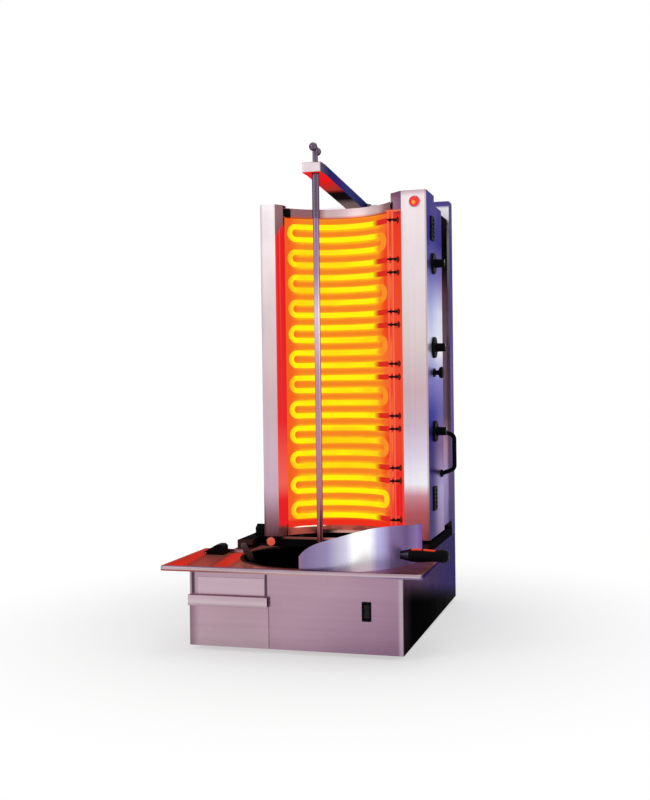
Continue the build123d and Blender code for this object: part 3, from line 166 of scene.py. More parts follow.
def along(tree, value, *stops):
    """Colours laid along a distance; each stop is a place, in rising order, and its colour."""
    low, high = stops[0][0], stops[-1][0]
    part = add(tree, "ShaderNodeMapRange", {"Value": value, "From Min": low, "From Max": high})
    made = add(tree, "ShaderNodeValToRGB", {"Fac": part.outputs[0]})
    points = made.color_ramp.elements
    for index, (place, *levels) in enumerate(stops):
        spot = (place - low) / (high - low)
        point = points[index] if index < 2 else points.new(spot)
        point.position = spot
        point.color = (*shown(*levels), 1.0)
    return made.outputs[0]


# %% Helpers for materials
class Finish:
    """A material with its tree and shader, and the piece's own coordinates in metres."""

    def __init__(self, title, metallic=0.0, roughness=0.5):
        self.material = bpy.data.materials.new(title)
        self.material.use_nodes = True
        self.tree = self.material.node_tree
        self.shader = self.tree.nodes["Principled BSDF"]
        self.put("Metallic", metallic)
        self.put("Roughness", roughness)
        self.place = add(self.tree, "ShaderNodeTexCoord")
        split = add(self.tree, "ShaderNodeSeparateXYZ", {"Vector": self.place.outputs["Object"]})
        self.x, self.y, self.z = split.outputs
        facing = add(self.tree, "ShaderNodeSeparateXYZ", {"Vector": self.place.outputs["Normal"]})
        self.to_right, self.to_rear, self.to_top = facing.outputs

    def put(self, name, value):
        """Link a socket to one of the shader's inputs, or set a number or a colour on it."""
        feed(self.tree, value, self.shader.inputs[name])

    def on_right(self):
        """One on the faces that look to the right."""
        return level(self.tree, self.to_right, 0.5, 0.8)

    def noise(self, scale, stretch=(1.0, 1.0, 1.0), detail=3.0):
        """Noise stretched along an axis by a smaller number there."""
        mapping = add(self.tree, "ShaderNodeMapping",
                      {"Vector": self.place.outputs["Object"], "Scale": stretch})
        made = add(self.tree, "ShaderNodeTexNoise",
                   {"Vector": mapping.outputs[0], "Scale": scale, "Detail": detail})
        return made.outputs["Fac"]

    def bump(self, height, strength, distance):
        """Feed a height into the shader's normal."""
        made = add(self.tree, "ShaderNodeBump",
                   {"Height": height, "Strength": strength, "Distance": distance})
        self.put("Normal", made.outputs[0])

    def glow(self, tint, strength):
        """Let the surface give light of its own."""
        self.put("Emission Color", tint)
        self.put("Emission Strength", strength)


def dress(material, *names):
    """Give a material to CAD pieces by name."""
    for name in names:
        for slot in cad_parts[name].material_slots:
            slot.material = material
    print(material.name, "->", ", ".join(names))


# %% [markdown]
# Almost everything here is stainless sheet. Such sheet has a grain from the rolling mill or the
# brush, so its noise is stretched along one direction, and it is never one even colour: hands,
# wiping cloths and heat leave broad soft clouds, and a shining face takes on the tints of what it
# faces. The same recipe makes every sheet. What changes is the tint, which may be one colour, or a
# function that lays colours over the piece.

# %% Recipe for brushed sheet
ALONG_X = (0.02, 1.0, 1.0)
ALONG_Y = (1.0, 0.02, 1.0)
ALONG_Z = (1.0, 1.0, 0.02)
AROUND = (0.02, 0.02, 1.0)
GRAIN_SCALE = 700.0
STREAK_SCALE = 84.0
CLOUD_SCALE = 5.0
GRAIN_DEPTH = 0.00005
SLANTED = 0.25


def brushed(title, tint, grain, rough=(0.24, 0.40), cloudy=0.80, gleam=0.05):
    """Brushed steel with a grain along one axis and clouds that darken its tint a little."""
    finish = Finish(title, metallic=1.0)
    tree = finish.tree
    base = tint(finish) if callable(tint) else tint
    fine = finish.noise(GRAIN_SCALE, grain, 2.0)
    streaks = finish.noise(STREAK_SCALE, grain, 4.0)
    clouds = finish.noise(CLOUD_SCALE, detail=4.0)
    shade = product(tree, level(tree, clouds, 0.30, 0.62, cloudy, 1.0),
                    level(tree, streaks, 0.25, 0.75, 0.93, 1.0))
    grey = add(tree, "ShaderNodeCombineColor", {"Red": shade, "Green": shade, "Blue": shade})
    shaded = mixed(tree, 1.0, base, grey.outputs[0], "MULTIPLY")
    finish.put("Base Color", shaded)
    finish.put("Specular Tint", mixed(tree, gleam, shaded, (1.0, 1.0, 1.0)))
    wiped = product(tree, level(tree, clouds, 0.3, 0.7), level(tree, fine, 0.2, 0.8, 0.8, 1.0))
    finish.put("Roughness", level(tree, wiped, 0.0, 1.0, *rough))
    finish.bump(fine, 0.04, GRAIN_DEPTH)
    return finish.material


# %% [markdown]
# The base's front is painted a soft mauve that deepens to the lower right, a painted reflection of
# a dark room at its right, and its right side is painted almost black as painted shade. Painting
# that into the steel keeps it in every view.

# %% Sheets of the base
BASE_RIGHT = 0.25
LEFT_SEAM = (-0.2405, 0.002, 0.004)
RIGHT_SEAM = (-0.0645, 0.0015, 0.003)
SEAM_FOOT = 0.116
DRAWER_EDGE = (-0.249, -0.222)
DRAWER_LIP = (-0.3525, -0.3545)


def base_front(finish):
    """Mauve, painted shade in both seams of the upper panel, a painted highlight on the fold."""
    tree = finish.tree
    low_right = maths(tree, "SUBTRACT", finish.x, finish.z)
    front = along(tree, low_right, (-0.40, 186, 157, 172), (-0.05, 182, 150, 168),
                  (0.14, 164, 130, 152), (0.24, 144, 112, 137))
    seams = [band(tree, finish.x, *seam) for seam in (LEFT_SEAM, RIGHT_SEAM)]
    dark = product(tree, maths(tree, "MAXIMUM", *seams),
                   level(tree, finish.z, SEAM_FOOT, SEAM_FOOT + 0.005), 0.9)
    # Painted shade in the seams at both sides of the upper panel.
    front = mixed(tree, dark, front, shown(64, 44, 54))
    # Painted highlight along the fold at the right edge.
    fold = level(tree, finish.x, BASE_RIGHT - 0.014, BASE_RIGHT - 0.006)
    return mixed(tree, fold, front, shown(186, 166, 180))


def base_side(finish):
    """Painted shade: black low and to the rear, grey at the front edge; painted violet up high."""
    tree = finish.tree
    side = mixed(tree, level(tree, finish.y, -0.345, -0.235), shown(88, 74, 84), shown(2, 2, 3))
    upper = along(tree, finish.y, (-0.35, 130, 112, 126), (-0.10, 122, 110, 132),
                  (0.30, 104, 96, 138))
    rising = maths(tree, "ADD", finish.z, product(tree, finish.y, 0.20))
    return mixed(tree, level(tree, rising, 0.045, 0.105), side, upper)


def base_tint(finish):
    """Painted mauve reflection on the front, painted shade on the right side."""
    return mixed(finish.tree, finish.on_right(), base_front(finish), base_side(finish))


def drawer_tint(finish):
    """Pinkish grey, with a painted highlight on the lip that the fingers pull."""
    tree = finish.tree
    face = along(tree, finish.z, (0.0, 194, 167, 177), (0.09, 190, 159, 172))
    # Painted shade along the drawer's left edge.
    left_edge = level(tree, finish.x, *DRAWER_EDGE, 0.75, 0.0)
    face = mixed(tree, left_edge, face, shown(128, 98, 116))
    # Painted highlight on the lip, with painted shade at its foot.
    lip = along(tree, finish.z, (0.092, 164, 136, 150), (0.102, 214, 192, 200),
                (0.118, 196, 168, 180))
    return mixed(tree, level(tree, finish.y, *DRAWER_LIP), face, lip)


dress(brushed("base_steel", base_tint, ALONG_X, cloudy=0.92), "base_shell")
dress(brushed("drawer_steel", drawer_tint, ALONG_X, cloudy=0.90), "drawer_front")
dress(brushed("panel_steel", shown(202, 176, 188), ALONG_X, cloudy=0.92), "upper_front_panel")
dress(brushed("deck_steel", shown(96, 84, 98), ALONG_X), "base_deck")

# %% [markdown]
# The worktop lies under the glow; its brushed floor has two long painted red reflections at the
# left, a painted dull brown between them, and its folded rim a painted highlight from the front.

# %% Worktop
TRAY_FLOOR = 0.179
OUTER_STREAK = (-0.328, 0.010, 0.034)
INNER_STREAK = (-0.220, 0.008, 0.028)
INNER_STREAK_END = (-0.12, -0.15)
STREAK_DRIFT = 0.12
LEFT_RIM = (-0.2885, -0.2925)
LEFT_RIM_INSIDE = (-0.27, -0.28)
FRONT_RIM = (-0.392, -0.386)


def tray_tint(finish):
    """Painted reflection: pale pink rim and floor, the floor brown towards the pan."""
    tree = finish.tree
    # Painted reflection across the floor, red brown at the left, painted shade at the right under
    # the grip.
    floor = along(tree, finish.x, (-0.29, 156, 84, 78), (-0.20, 156, 88, 80),
                  (-0.14, 160, 112, 106), (0.0, 196, 156, 152), (0.20, 160, 138, 160),
                  (0.27, 120, 104, 140))
    # Painted highlight along the rim's upper edge, painted shade below it and on its right faces.
    rim = along(tree, finish.z, (0.177, 132, 104, 116), (0.1805, 214, 192, 200),
                (0.188, 150, 124, 138))
    rim = mixed(tree, finish.on_right(), rim, shown(92, 80, 116))
    above_floor = level(tree, finish.z, TRAY_FLOOR + 0.0005, TRAY_FLOOR + 0.003)
    return mixed(tree, above_floor, floor, rim)


def tray_glow(finish):
    """Red light of the elements on the left part of the floor."""
    tree = finish.tree
    drift = maths(tree, "ADD", finish.x, product(tree, finish.y, STREAK_DRIFT))
    outer = band(tree, drift, *OUTER_STREAK)
    inner = product(tree, band(tree, drift, *INNER_STREAK),
                    level(tree, finish.y, *INNER_STREAK_END))
    patchy = level(tree, finish.noise(14.0, (1.0, 0.35, 1.0)), 0.30, 0.60, 0.75, 1.0)
    on_floor = product(tree, level(tree, finish.x, *LEFT_RIM, 1.0, 0.8),
                       level(tree, finish.y, *FRONT_RIM))
    rim_inside = product(tree, level(tree, finish.to_right, 0.3, 0.7),
                         level(tree, finish.x, *LEFT_RIM_INSIDE))
    top_only = maths(tree, "MAXIMUM", level(tree, finish.to_top, 0.2, 0.6), rim_inside)
    amount = product(tree, maths(tree, "MAXIMUM", outer, inner), patchy, on_floor, top_only)
    dull = product(tree, on_floor, top_only, level(tree, finish.x, 0.0, 0.2, 0.30, 0.15))
    finish.glow(mixed(tree, amount, shown(176, 96, 84), shown(236, 40, 20)),
                maths(tree, "MAXIMUM", dull, product(tree, amount, 0.88)))
    return amount


def worktop_tint(finish):
    """The tray's tint, darkened where the red reflections lie on it."""
    return mixed(finish.tree, tray_glow(finish), tray_tint(finish), shown(70, 8, 6))


dress(brushed("tray_steel", worktop_tint, ALONG_X, rough=(0.20, 0.36), cloudy=0.85), "worktop")

# %% [markdown]
# The drip pan is painted black inside as painted shade, and everything under the heater head is
# painted dark as painted shade too. The drawer's box, its runners and the screws are not darkened.

# %% Pan, rails and carriage
# Painted shade for the dark parts under the heater head.
UNDER_HEAD_SHADE = shown(34, 27, 31)
PAN_FLANGE = (0.176, 0.180)
RAIL_ENDS = (-0.052, -0.030)


def pan_tint(finish):
    """Black inside as painted shade, a little brown on the flange that lies on the tray."""
    on_flange = level(finish.tree, finish.z, *PAN_FLANGE)
    return mixed(finish.tree, on_flange, shown(14, 10, 12), shown(96, 72, 74))


def rail_tint(finish):
    """Black brown as painted shade, with painted warm light on the front ends."""
    front_end = level(finish.tree, finish.y, *RAIL_ENDS, 1.0, 0.0)
    return mixed(finish.tree, front_end, UNDER_HEAD_SHADE, shown(72, 46, 44))


dress(brushed("pan_steel", pan_tint, AROUND, rough=(0.30, 0.55)), "drip_pan")
dress(brushed("drawer_box_steel", shown(150, 140, 150), ALONG_Y), "drawer_box")
dress(brushed("rail_steel", rail_tint, ALONG_Y, rough=(0.40, 0.60)), "rails")
dress(brushed("carriage_steel", UNDER_HEAD_SHADE, ALONG_Y, rough=(0.40, 0.60)), "carriage")
dress(brushed("zinc_steel", shown(176, 178, 182), ALONG_Y, rough=(0.35, 0.55)),
      "runners", "fixings", "catch_pin")

# %% [markdown]
# The guard is a rolled sheet. One upright stripe of it is a painted white highlight, and to both
# sides of the stripe painted shade falls off to lavender and then to a dark violet, with a little
# painted glow over all. The stripe follows the angle around the guard's own axis, which is how a
# rolled sheet behaves.

# %% Guard
GUARD_AXIS = (0.012, -0.145)


def guard_tint(finish):
    """Painted light: lavender steel, one white highlight stripe, a dark violet one beside it."""
    tree = finish.tree
    turn = maths(tree, "ARCTAN2", maths(tree, "SUBTRACT", finish.y, GUARD_AXIS[1]),
                 maths(tree, "SUBTRACT", finish.x, GUARD_AXIS[0]))
    turn = product(tree, turn, 180 / math.pi)
    outside = along(tree, turn, (-90, 156, 108, 134), (-84, 124, 106, 144), (-72, 146, 134, 172),
                    (-62, 206, 202, 222), (-58, 255, 255, 255), (-49, 255, 255, 255),
                    (-44, 178, 174, 214), (-35, 116, 98, 138), (-22, 98, 80, 116),
                    (-9, 140, 122, 160), (0, 128, 112, 168))
    finish.glow(outside, level(tree, turn, -50, -34, 0.14, 0.40))
    return outside


dress(brushed("guard_steel", guard_tint, AROUND, rough=(0.22, 0.34), cloudy=0.98), "guard")

# %% [markdown]
# The two posts of the heater head are pale in front, with a painted pink reflection near the
# floor of the room, and their slanted inner cheeks look straight into the heat and take painted
# red light. The column's right side and the panel behind it carry a painted reflection of a blue
# evening: indigo at the top, nearly white at the middle, indigo again further down.

# %% Light of the tubes on the cheeks
CHEEK_TOP = 1.016
UNDER_GLOW = (0.02, 0.004, 0.004)


def cheek_glow(finish, cheek, reds, top=CHEEK_TOP):
    """Red light on a cheek, laid along its height, none above the glow."""
    tree = finish.tree
    tint = along(tree, finish.z, *reds)
    lines = finish.noise(160.0, (1.0, 1.0, 0.004), 2.0)
    tint = mixed(tree, level(tree, lines, 0.52, 0.72, 0.0, 0.40), tint, shown(244, 112, 84))
    over_top = maths(tree, "SUBTRACT", finish.z, top)
    lit = product(tree, cheek, level(tree, over_top, -0.012, 0.004, 1.0, 0.0))
    finish.glow(tint, product(tree, lit, 0.96))
    return lit


# %% Left post
LEFT_REDS = ((0.23, 232, 30, 34), (0.30, 234, 34, 38), (0.34, 244, 98, 86), (0.41, 242, 84, 72),
             (0.50, 234, 40, 42), (1.00, 230, 26, 34))
POST_EDGE = (-0.1765, -0.170)
POST_CHEEK = (-0.1392, -0.1372)
GLOW_FOOT = (0.226, 0.240)


def left_post_tint(finish):
    """Pale front, pink low down as painted reflection; inner cheek dark under painted red light."""
    tree = finish.tree
    front = along(tree, finish.z, (0.20, 128, 86, 92), (0.25, 160, 120, 134),
                  (0.32, 206, 178, 196), (0.60, 210, 184, 187), (0.85, 228, 212, 214),
                  (1.04, 238, 228, 230))
    edge = along(tree, finish.z, (0.24, 96, 66, 76), (0.34, 196, 182, 200))
    front = mixed(tree, level(tree, finish.x, *POST_EDGE, 1.0, 0.0), front, edge)
    flank = along(tree, finish.z, (0.24, 70, 54, 66), (0.36, 150, 140, 166))
    outer = mixed(tree, level(tree, finish.to_right, -0.8, -0.5, 1.0, 0.0), front, flank)
    cheek = level(tree, finish.x, *POST_CHEEK)
    lit_part = product(tree, cheek, level(tree, finish.z, *GLOW_FOOT))
    sloping_top = level(tree, finish.x, -0.138, -0.123, 0.975, 1.002)
    lit = cheek_glow(finish, lit_part, LEFT_REDS, sloping_top)
    # Painted shade on the cheek above the glow.
    unlit = along(tree, finish.z, (0.22, 150, 96, 98), (0.95, 104, 80, 82), (1.03, 134, 100, 104))
    return mixed(tree, cheek, outer, mixed(tree, lit, unlit, UNDER_GLOW))


dress(brushed("left_post_steel", left_post_tint, ALONG_Z, cloudy=0.95), "left_post")

# %% Column and side panel
COLUMN_REDS = ((0.22, 232, 28, 34), (0.34, 235, 34, 34), (0.43, 240, 66, 42), (0.72, 242, 78, 46),
               (0.97, 240, 62, 36), (1.01, 234, 40, 32))
COLUMN_CHEEK = (0.1868, 0.1880)
COLUMN_EDGE = (0.2440, 0.2475)
PANEL_START = (0.01, 0.13)


def evening_side(finish):
    """What the right side mirrors, from the foot of the head to its top."""
    tree = finish.tree
    near = along(tree, finish.z, (0.20, 86, 76, 132), (0.33, 88, 78, 136), (0.45, 82, 74, 156),
                 (0.52, 84, 88, 172), (0.60, 150, 144, 208), (0.69, 226, 228, 246),
                 (0.77, 196, 202, 236), (0.86, 132, 130, 198), (0.95, 78, 78, 160),
                 (1.06, 98, 90, 156))
    far = along(tree, finish.z, (0.20, 170, 146, 184), (0.32, 190, 178, 216),
                (0.43, 146, 110, 156), (0.52, 120, 112, 184), (0.60, 162, 152, 212),
                (0.67, 246, 246, 252), (0.77, 232, 232, 248), (0.86, 146, 132, 198),
                (0.95, 78, 68, 150), (1.06, 96, 88, 156))
    return mixed(tree, level(tree, finish.y, *PANEL_START), near, far)


def column_tint(finish):
    """Pale front, blue right side as painted reflection, cheek dark under painted red light."""
    tree = finish.tree
    # Painted reflection down the front, red low down near the glow, a band of painted shade at the
    # top.
    front = along(tree, finish.z, (0.20, 250, 140, 132), (0.27, 236, 126, 128),
                  (0.315, 222, 156, 168), (0.345, 252, 248, 255), (0.42, 224, 212, 232),
                  (0.49, 206, 186, 202), (0.57, 204, 178, 186), (0.70, 222, 206, 206),
                  (0.85, 232, 220, 224), (1.05, 240, 228, 230), (1.062, 200, 172, 184))
    # Painted shade along the front's right edge.
    edge = product(tree, level(tree, finish.x, *COLUMN_EDGE), 0.55)
    front = mixed(tree, edge, front, shown(170, 138, 132))
    side = level(tree, finish.to_right, 0.8, 0.95)
    outer = mixed(tree, side, front, evening_side(finish))
    cheek = level(tree, finish.x, *COLUMN_CHEEK, 1.0, 0.0)
    lit = cheek_glow(finish, cheek, COLUMN_REDS)
    # Painted shade on the cheek above the glow.
    unlit = along(tree, finish.x, (0.155, 176, 140, 152), (0.187, 150, 112, 150))
    return mixed(tree, cheek, outer, mixed(tree, lit, unlit, UNDER_GLOW))


def panel_tint(finish):
    """The same painted evening as beside it, painted shade on the faces that look elsewhere."""
    side = level(finish.tree, finish.to_right, 0.5, 0.9)
    return mixed(finish.tree, side, shown(120, 112, 134), evening_side(finish))


dress(brushed("column_steel", column_tint, ALONG_Z, cloudy=0.97, gleam=SLANTED), "control_column")
dress(brushed("side_panel_steel", panel_tint, ALONG_Z, cloudy=0.95, gleam=SLANTED), "side_panel")
dress(brushed("casing_steel", shown(136, 126, 146), ALONG_Z), "head_casing", "back_cover")

# %% [markdown]
# Behind the head stands the fixed part: a telescoping sleeve, and the housing that carries the
# arm. The sleeve is painted black at its top as painted shade and brown lower down, and the
# housing's front has a painted bright corner above it.

# %% Sleeve and rear housing
SHADE_FOOT = (1.066, 1.074)
SHADE_LEFT = (0.19, 0.20)


def sleeve_tint(finish):
    """Black painted shade at the top, brown grey in the middle and lavender near the foot."""
    return along(finish.tree, finish.z, (0.20, 160, 148, 190), (0.34, 192, 176, 210),
                 (0.43, 200, 170, 186), (0.50, 142, 122, 136), (0.70, 142, 122, 132),
                 (0.83, 120, 98, 106), (0.90, 44, 32, 36), (0.96, 4, 3, 4))


def housing_tint(finish):
    """Painted bright front with its upper right corner in painted shade, violet right side."""
    tree = finish.tree
    front = along(tree, finish.z, (0.20, 160, 148, 176), (0.80, 150, 140, 160),
                  (1.00, 236, 230, 238), (1.085, 240, 234, 240))
    side = along(tree, finish.z, (0.20, 70, 62, 130), (0.60, 112, 96, 168), (1.08, 80, 72, 138))
    shade = product(tree, level(tree, finish.z, *SHADE_FOOT), level(tree, finish.x, *SHADE_LEFT))
    front = mixed(tree, shade, front, shown(84, 74, 140))
    return mixed(tree, finish.on_right(), front, side)


dress(brushed("sleeve_steel", sleeve_tint, ALONG_Z, rough=(0.30, 0.48), cloudy=0.95, gleam=0.10),
      "sleeve")
dress(brushed("housing_steel", housing_tint, ALONG_Z, cloudy=0.94, gleam=SLANTED), "rear_housing")

# %% [markdown]
# The arm reaches forward over the heat. Its nose is pale, its underside mirrors the red of the
# tubes and then the dark of the room, and its right flank is the same evening blue as the panel.
# The spit hangs below it, and the pin above the spit is turned by its small bar with two balls.

# %% Arm and its pin
def arm_tint(finish):
    """Pale nose, blue flank, and an underside that gives back red, then black, then brown."""
    tree = finish.tree
    under = along(tree, finish.y, (-0.17, 232, 28, 34), (-0.06, 228, 34, 38), (0.02, 200, 60, 54),
                  (0.06, 20, 10, 12), (0.13, 20, 14, 16), (0.18, 132, 106, 108),
                  (0.30, 146, 120, 118))
    flank = along(tree, finish.y, (-0.16, 112, 104, 122), (-0.09, 72, 74, 120),
                  (0.00, 84, 74, 140), (0.10, 78, 86, 134), (0.30, 64, 64, 104))
    below = level(tree, finish.to_top, -0.9, -0.5, 1.0, 0.0)
    finish.glow(under, product(tree, below, 0.60))
    body = mixed(tree, below, shown(120, 104, 128), under)
    body = mixed(tree, finish.on_right(), body, flank)
    nose = level(tree, finish.to_rear, -0.9, -0.6, 1.0, 0.0)
    return mixed(tree, nose, body, shown(222, 208, 212))


dress(brushed("arm_steel", arm_tint, ALONG_Y, cloudy=0.94, gleam=SLANTED), "arm")
dress(brushed("saddle_steel", shown(140, 124, 146), ALONG_Y), "arm_saddle")
dress(brushed("pin_steel", shown(104, 88, 106), ALONG_Z, rough=(0.16, 0.28)),
      "top_pin", "tommy_bar")
dress(brushed("bush_brass", shown(196, 160, 96), ALONG_Z), "arm_bush")

# %% Spit and its drive
def spit_tint(finish):
    """Lilac steel, brown at the foot, with a paler length two thirds up as a painted highlight."""
    return along(finish.tree, finish.z, (0.16, 110, 70, 66), (0.27, 172, 104, 114),
                 (0.45, 188, 136, 160), (0.62, 190, 150, 172), (0.76, 226, 210, 224),
                 (0.86, 170, 134, 168), (1.05, 128, 102, 138))


dress(brushed("spit_steel", spit_tint, ALONG_Z, rough=(0.16, 0.28), cloudy=0.9), "spit_rod")
dress(brushed("drive_steel", shown(92, 62, 60), AROUND, rough=(0.3, 0.45)), "drive_socket")

# %% [markdown]
# A curved band closes the glow above and another below it. The upper one is pale, with painted
# shade left of the spit and at its right end, and a warm painted reflection of the heat along its
# lower lip. The lower one is a dull red brown that glows a little as painted light, with a few
# clear painted glints and a patch of painted shade.

# %% Bands above and below the glow
BAND_SPLIT = (-0.050, -0.026)
BAND_RIGHT = (0.112, 0.140)
TOP_BAND_LIP = (1.018, 1.027)
BOTTOM_BAND_LIP = (0.2235, 0.2260)


def top_band_tint(finish):
    """Painted shade left of the spit, pale right of it, painted warm light along the lower lip."""
    tree = finish.tree
    right_part = level(tree, finish.x, *BAND_SPLIT)
    # Brown pink painted shade left of the spit, pale to its right.
    tint = mixed(tree, right_part, shown(154, 114, 120), shown(222, 202, 206))
    # Painted shade at the band's right end.
    tint = mixed(tree, level(tree, finish.x, *BAND_RIGHT), tint, shown(172, 138, 144))
    lower_lip = level(tree, finish.z, *TOP_BAND_LIP, 0.85, 0.0)
    return mixed(tree, lower_lip, tint, shown(216, 98, 50))


def bottom_band_tint(finish):
    """Dull red brown, with one pale glint on the lip and one below it, all as painted light."""
    tree = finish.tree
    glint = product(tree, band(tree, finish.x, -0.075, 0.024, 0.016),
                    level(tree, finish.z, *BOTTOM_BAND_LIP))
    pale = product(tree, band(tree, finish.x, 0.035, 0.035, 0.035),
                   level(tree, finish.z, 0.2160, 0.2110))
    # Painted shade in a patch below the lip.
    dark = product(tree, band(tree, finish.x, -0.040, 0.020, 0.015),
                   level(tree, finish.z, 0.2190, 0.2140))
    patchy = level(tree, finish.noise(26.0, (1.0, 1.0, 1.6)), 0.36, 0.62)
    tint = mixed(tree, patchy, shown(132, 66, 58), shown(190, 92, 78))
    tint = mixed(tree, dark, tint, shown(56, 34, 34))
    tint = mixed(tree, glint, tint, shown(255, 246, 220))
    tint = mixed(tree, pale, tint, shown(226, 172, 156))
    finish.glow(tint, level(tree, glint, 0.0, 1.0, 0.50, 1.0))
    return tint


dress(brushed("top_band_steel", top_band_tint, AROUND, rough=(0.44, 0.58), cloudy=0.96),
      "top_band")
dress(brushed("bottom_band_steel", bottom_band_tint, AROUND, cloudy=0.9), "bottom_band")
dress(brushed("bezel_steel", shown(190, 170, 178), AROUND, rough=(0.15, 0.25)), "lamp_bezels")

# %% [markdown]
# The heating tubes glow yellow, and the sheet behind them carries their light as a painted
# reflection in orange stripes; at the sides and along the bottom it is painted red light.
# The glow could be painted as one gradient, but the real sheet shows a bright stripe behind each
# tube, so the painted stripes follow the height of the tubes. The cold ends, which run into the
# column, stay dark red, and the thin rods in front of them carry painted light, with painted
# shade only where an end crosses.

# %% Places of the tubes
TUBE_TOP = 0.9945
TUBE_PITCH = 0.03215
TUBES_PER_ELEMENT = 4
ARC_MIDDLE = 0.016
CAVITY_FLOOR = 0.227
LEFT_BENDS = (-0.094, -0.112)
RIGHT_BENDS = (0.104, 0.126)
HEAT_ENDS = (0.100, 0.124)
COLD_ENDS = (0.150, 0.158)


def wave_of_tubes(finish):
    """One at the height of each tube, zero midway between two."""
    tree = finish.tree
    turn = product(tree, maths(tree, "SUBTRACT", finish.z, TUBE_TOP), 2 * math.pi / TUBE_PITCH)
    return maths(tree, "MULTIPLY_ADD", maths(tree, "COSINE", turn), 0.5, 0.5)


def from_element_middle(finish):
    """How far up or down from its element's middle a place lies, as a part of the pitch."""
    tree = finish.tree
    below_top = maths(tree, "SUBTRACT", TUBE_TOP + TUBE_PITCH / 2, finish.z)
    part = maths(tree, "FRACT", maths(tree, "DIVIDE", below_top, TUBES_PER_ELEMENT * TUBE_PITCH))
    return maths(tree, "ABSOLUTE", maths(tree, "SUBTRACT", part, 0.5))


# %% Glowing tubes
def glow_tube():
    """Yellow heat along the legs and bends, dimmer at some bends, red at the cold ends."""
    finish = Finish("heating_tube", roughness=0.8)
    tree = finish.tree
    scale = finish.noise(160.0)
    finish.put("Base Color", mixed(tree, scale, shown(20, 14, 13), shown(52, 40, 38)))
    finish.put("Specular IOR Level", 0.0)
    finish.bump(scale, 0.2, 0.0002)
    drift = finish.noise(7.0, (0.6, 1.0, 1.6))
    yellow = mixed(tree, level(tree, drift, 0.34, 0.56), shown(255, 208, 6), shown(255, 242, 0))
    faint = product(tree, level(tree, finish.x, *LEFT_BENDS),
                    level(tree, drift, 0.44, 0.60, 1.0, 0.45))
    yellow = mixed(tree, faint, yellow, shown(251, 158, 24))
    cooler = product(tree, level(tree, finish.x, *RIGHT_BENDS),
                     level(tree, finish.z, 0.32, 0.40, 0.25, 1.0))
    yellow = mixed(tree, cooler, yellow, shown(248, 142, 34))
    inner_legs = level(tree, from_element_middle(finish), 0.245, 0.255, 1.0, 0.0)
    hot = maths(tree, "MAXIMUM", level(tree, finish.x, *HEAT_ENDS, 1.0, 0.0), inner_legs)
    warm = product(tree, level(tree, finish.x, *COLD_ENDS, 1.0, 0.25), 0.85)
    finish.glow(mixed(tree, hot, shown(234, 38, 30), yellow), maths(tree, "MAXIMUM", hot, warm))
    return finish.material


dress(glow_tube(), *[f"element_{number}" for number in range(1, 7)])

# %% Sheet behind the tubes
LEFT_SIDE = (-0.108, -0.132)
RIGHT_SIDE = (0.088, 0.118)


def glow_sheet():
    """Painted light: orange stripes behind the tubes, red at the sides and along the foot."""
    finish = Finish("reflector_glow", roughness=0.7)
    tree = finish.tree
    drift = finish.noise(16.0, (1.0, 1.0, 0.5))
    finish.put("Base Color", mixed(tree, drift, shown(40, 22, 16), shown(60, 34, 22)))
    finish.put("Specular IOR Level", 0.0)
    finish.bump(finish.noise(500.0, AROUND), 0.2, 0.0001)
    stripe = product(tree, level(tree, wave_of_tubes(finish), 0.0, 0.75),
                     level(tree, drift, 0.28, 0.58, 0.45, 1.0))
    warm = mixed(tree, stripe, shown(246, 132, 34), shown(255, 190, 20))
    away = maths(tree, "SUBTRACT", finish.x, ARC_MIDDLE)
    warm = mixed(tree, level(tree, away, *LEFT_SIDE), warm, shown(244, 96, 30))
    red = mixed(tree, level(tree, drift, 0.40, 0.60), shown(240, 66, 30), shown(246, 112, 44))
    warm = mixed(tree, level(tree, away, *RIGHT_SIDE), warm, red)
    foot = level(tree, finish.z, CAVITY_FLOOR + 0.012, CAVITY_FLOOR + 0.024, 1.0, 0.0)
    finish.glow(mixed(tree, foot, warm, shown(238, 44, 28)), 0.97)
    return finish.material


dress(glow_sheet(), "reflector")

# %% Rods in front of the cold ends
def rod_tint(finish):
    """Pink with painted light around the rods, painted shade where a cold end crosses."""
    tree = finish.tree
    crossing = band(tree, from_element_middle(finish), 0.375, 0.012, 0.012)
    pink = along(tree, finish.z, (0.23, 236, 60, 50), (0.5, 240, 84, 60), (1.02, 240, 96, 66))
    finish.glow(pink, level(tree, crossing, 0.0, 1.0, 0.86, 0.0))
    return mixed(tree, crossing, shown(120, 70, 66), shown(20, 14, 14))


dress(brushed("rod_steel", rod_tint, ALONG_Z, rough=(0.2, 0.35)), "element_rods")
dress(brushed("nut_steel", shown(176, 170, 176), AROUND), "lock_nut")

# %% [markdown]
# The black pieces are moulded plastic and enamel. Black plastic is not pure black: it has a fine
# grain that catches the light, and handled edges that shine a little. Its gloss is kept low,
# because it lives in grease.

# %% Plastics, rubber and paint
def moulded(title, base, roughness, grain_scale=900.0, gloss=0.015):
    """Moulded or painted surface with a fine grain and a slow drift of shade."""
    finish = Finish(title)
    tree = finish.tree
    drift = finish.noise(18.0)
    lighter = tuple(min(1.0, value * 1.6 + 0.003) for value in base)
    finish.put("Base Color", mixed(tree, drift, base, lighter))
    handled = level(tree, drift, 0.3, 0.7, -0.06, 0.06)
    finish.put("Roughness", maths(tree, "ADD", handled, roughness))
    finish.put("Specular IOR Level", gloss)
    finish.bump(finish.noise(grain_scale, detail=2.0), 0.3, 0.00015)
    return finish


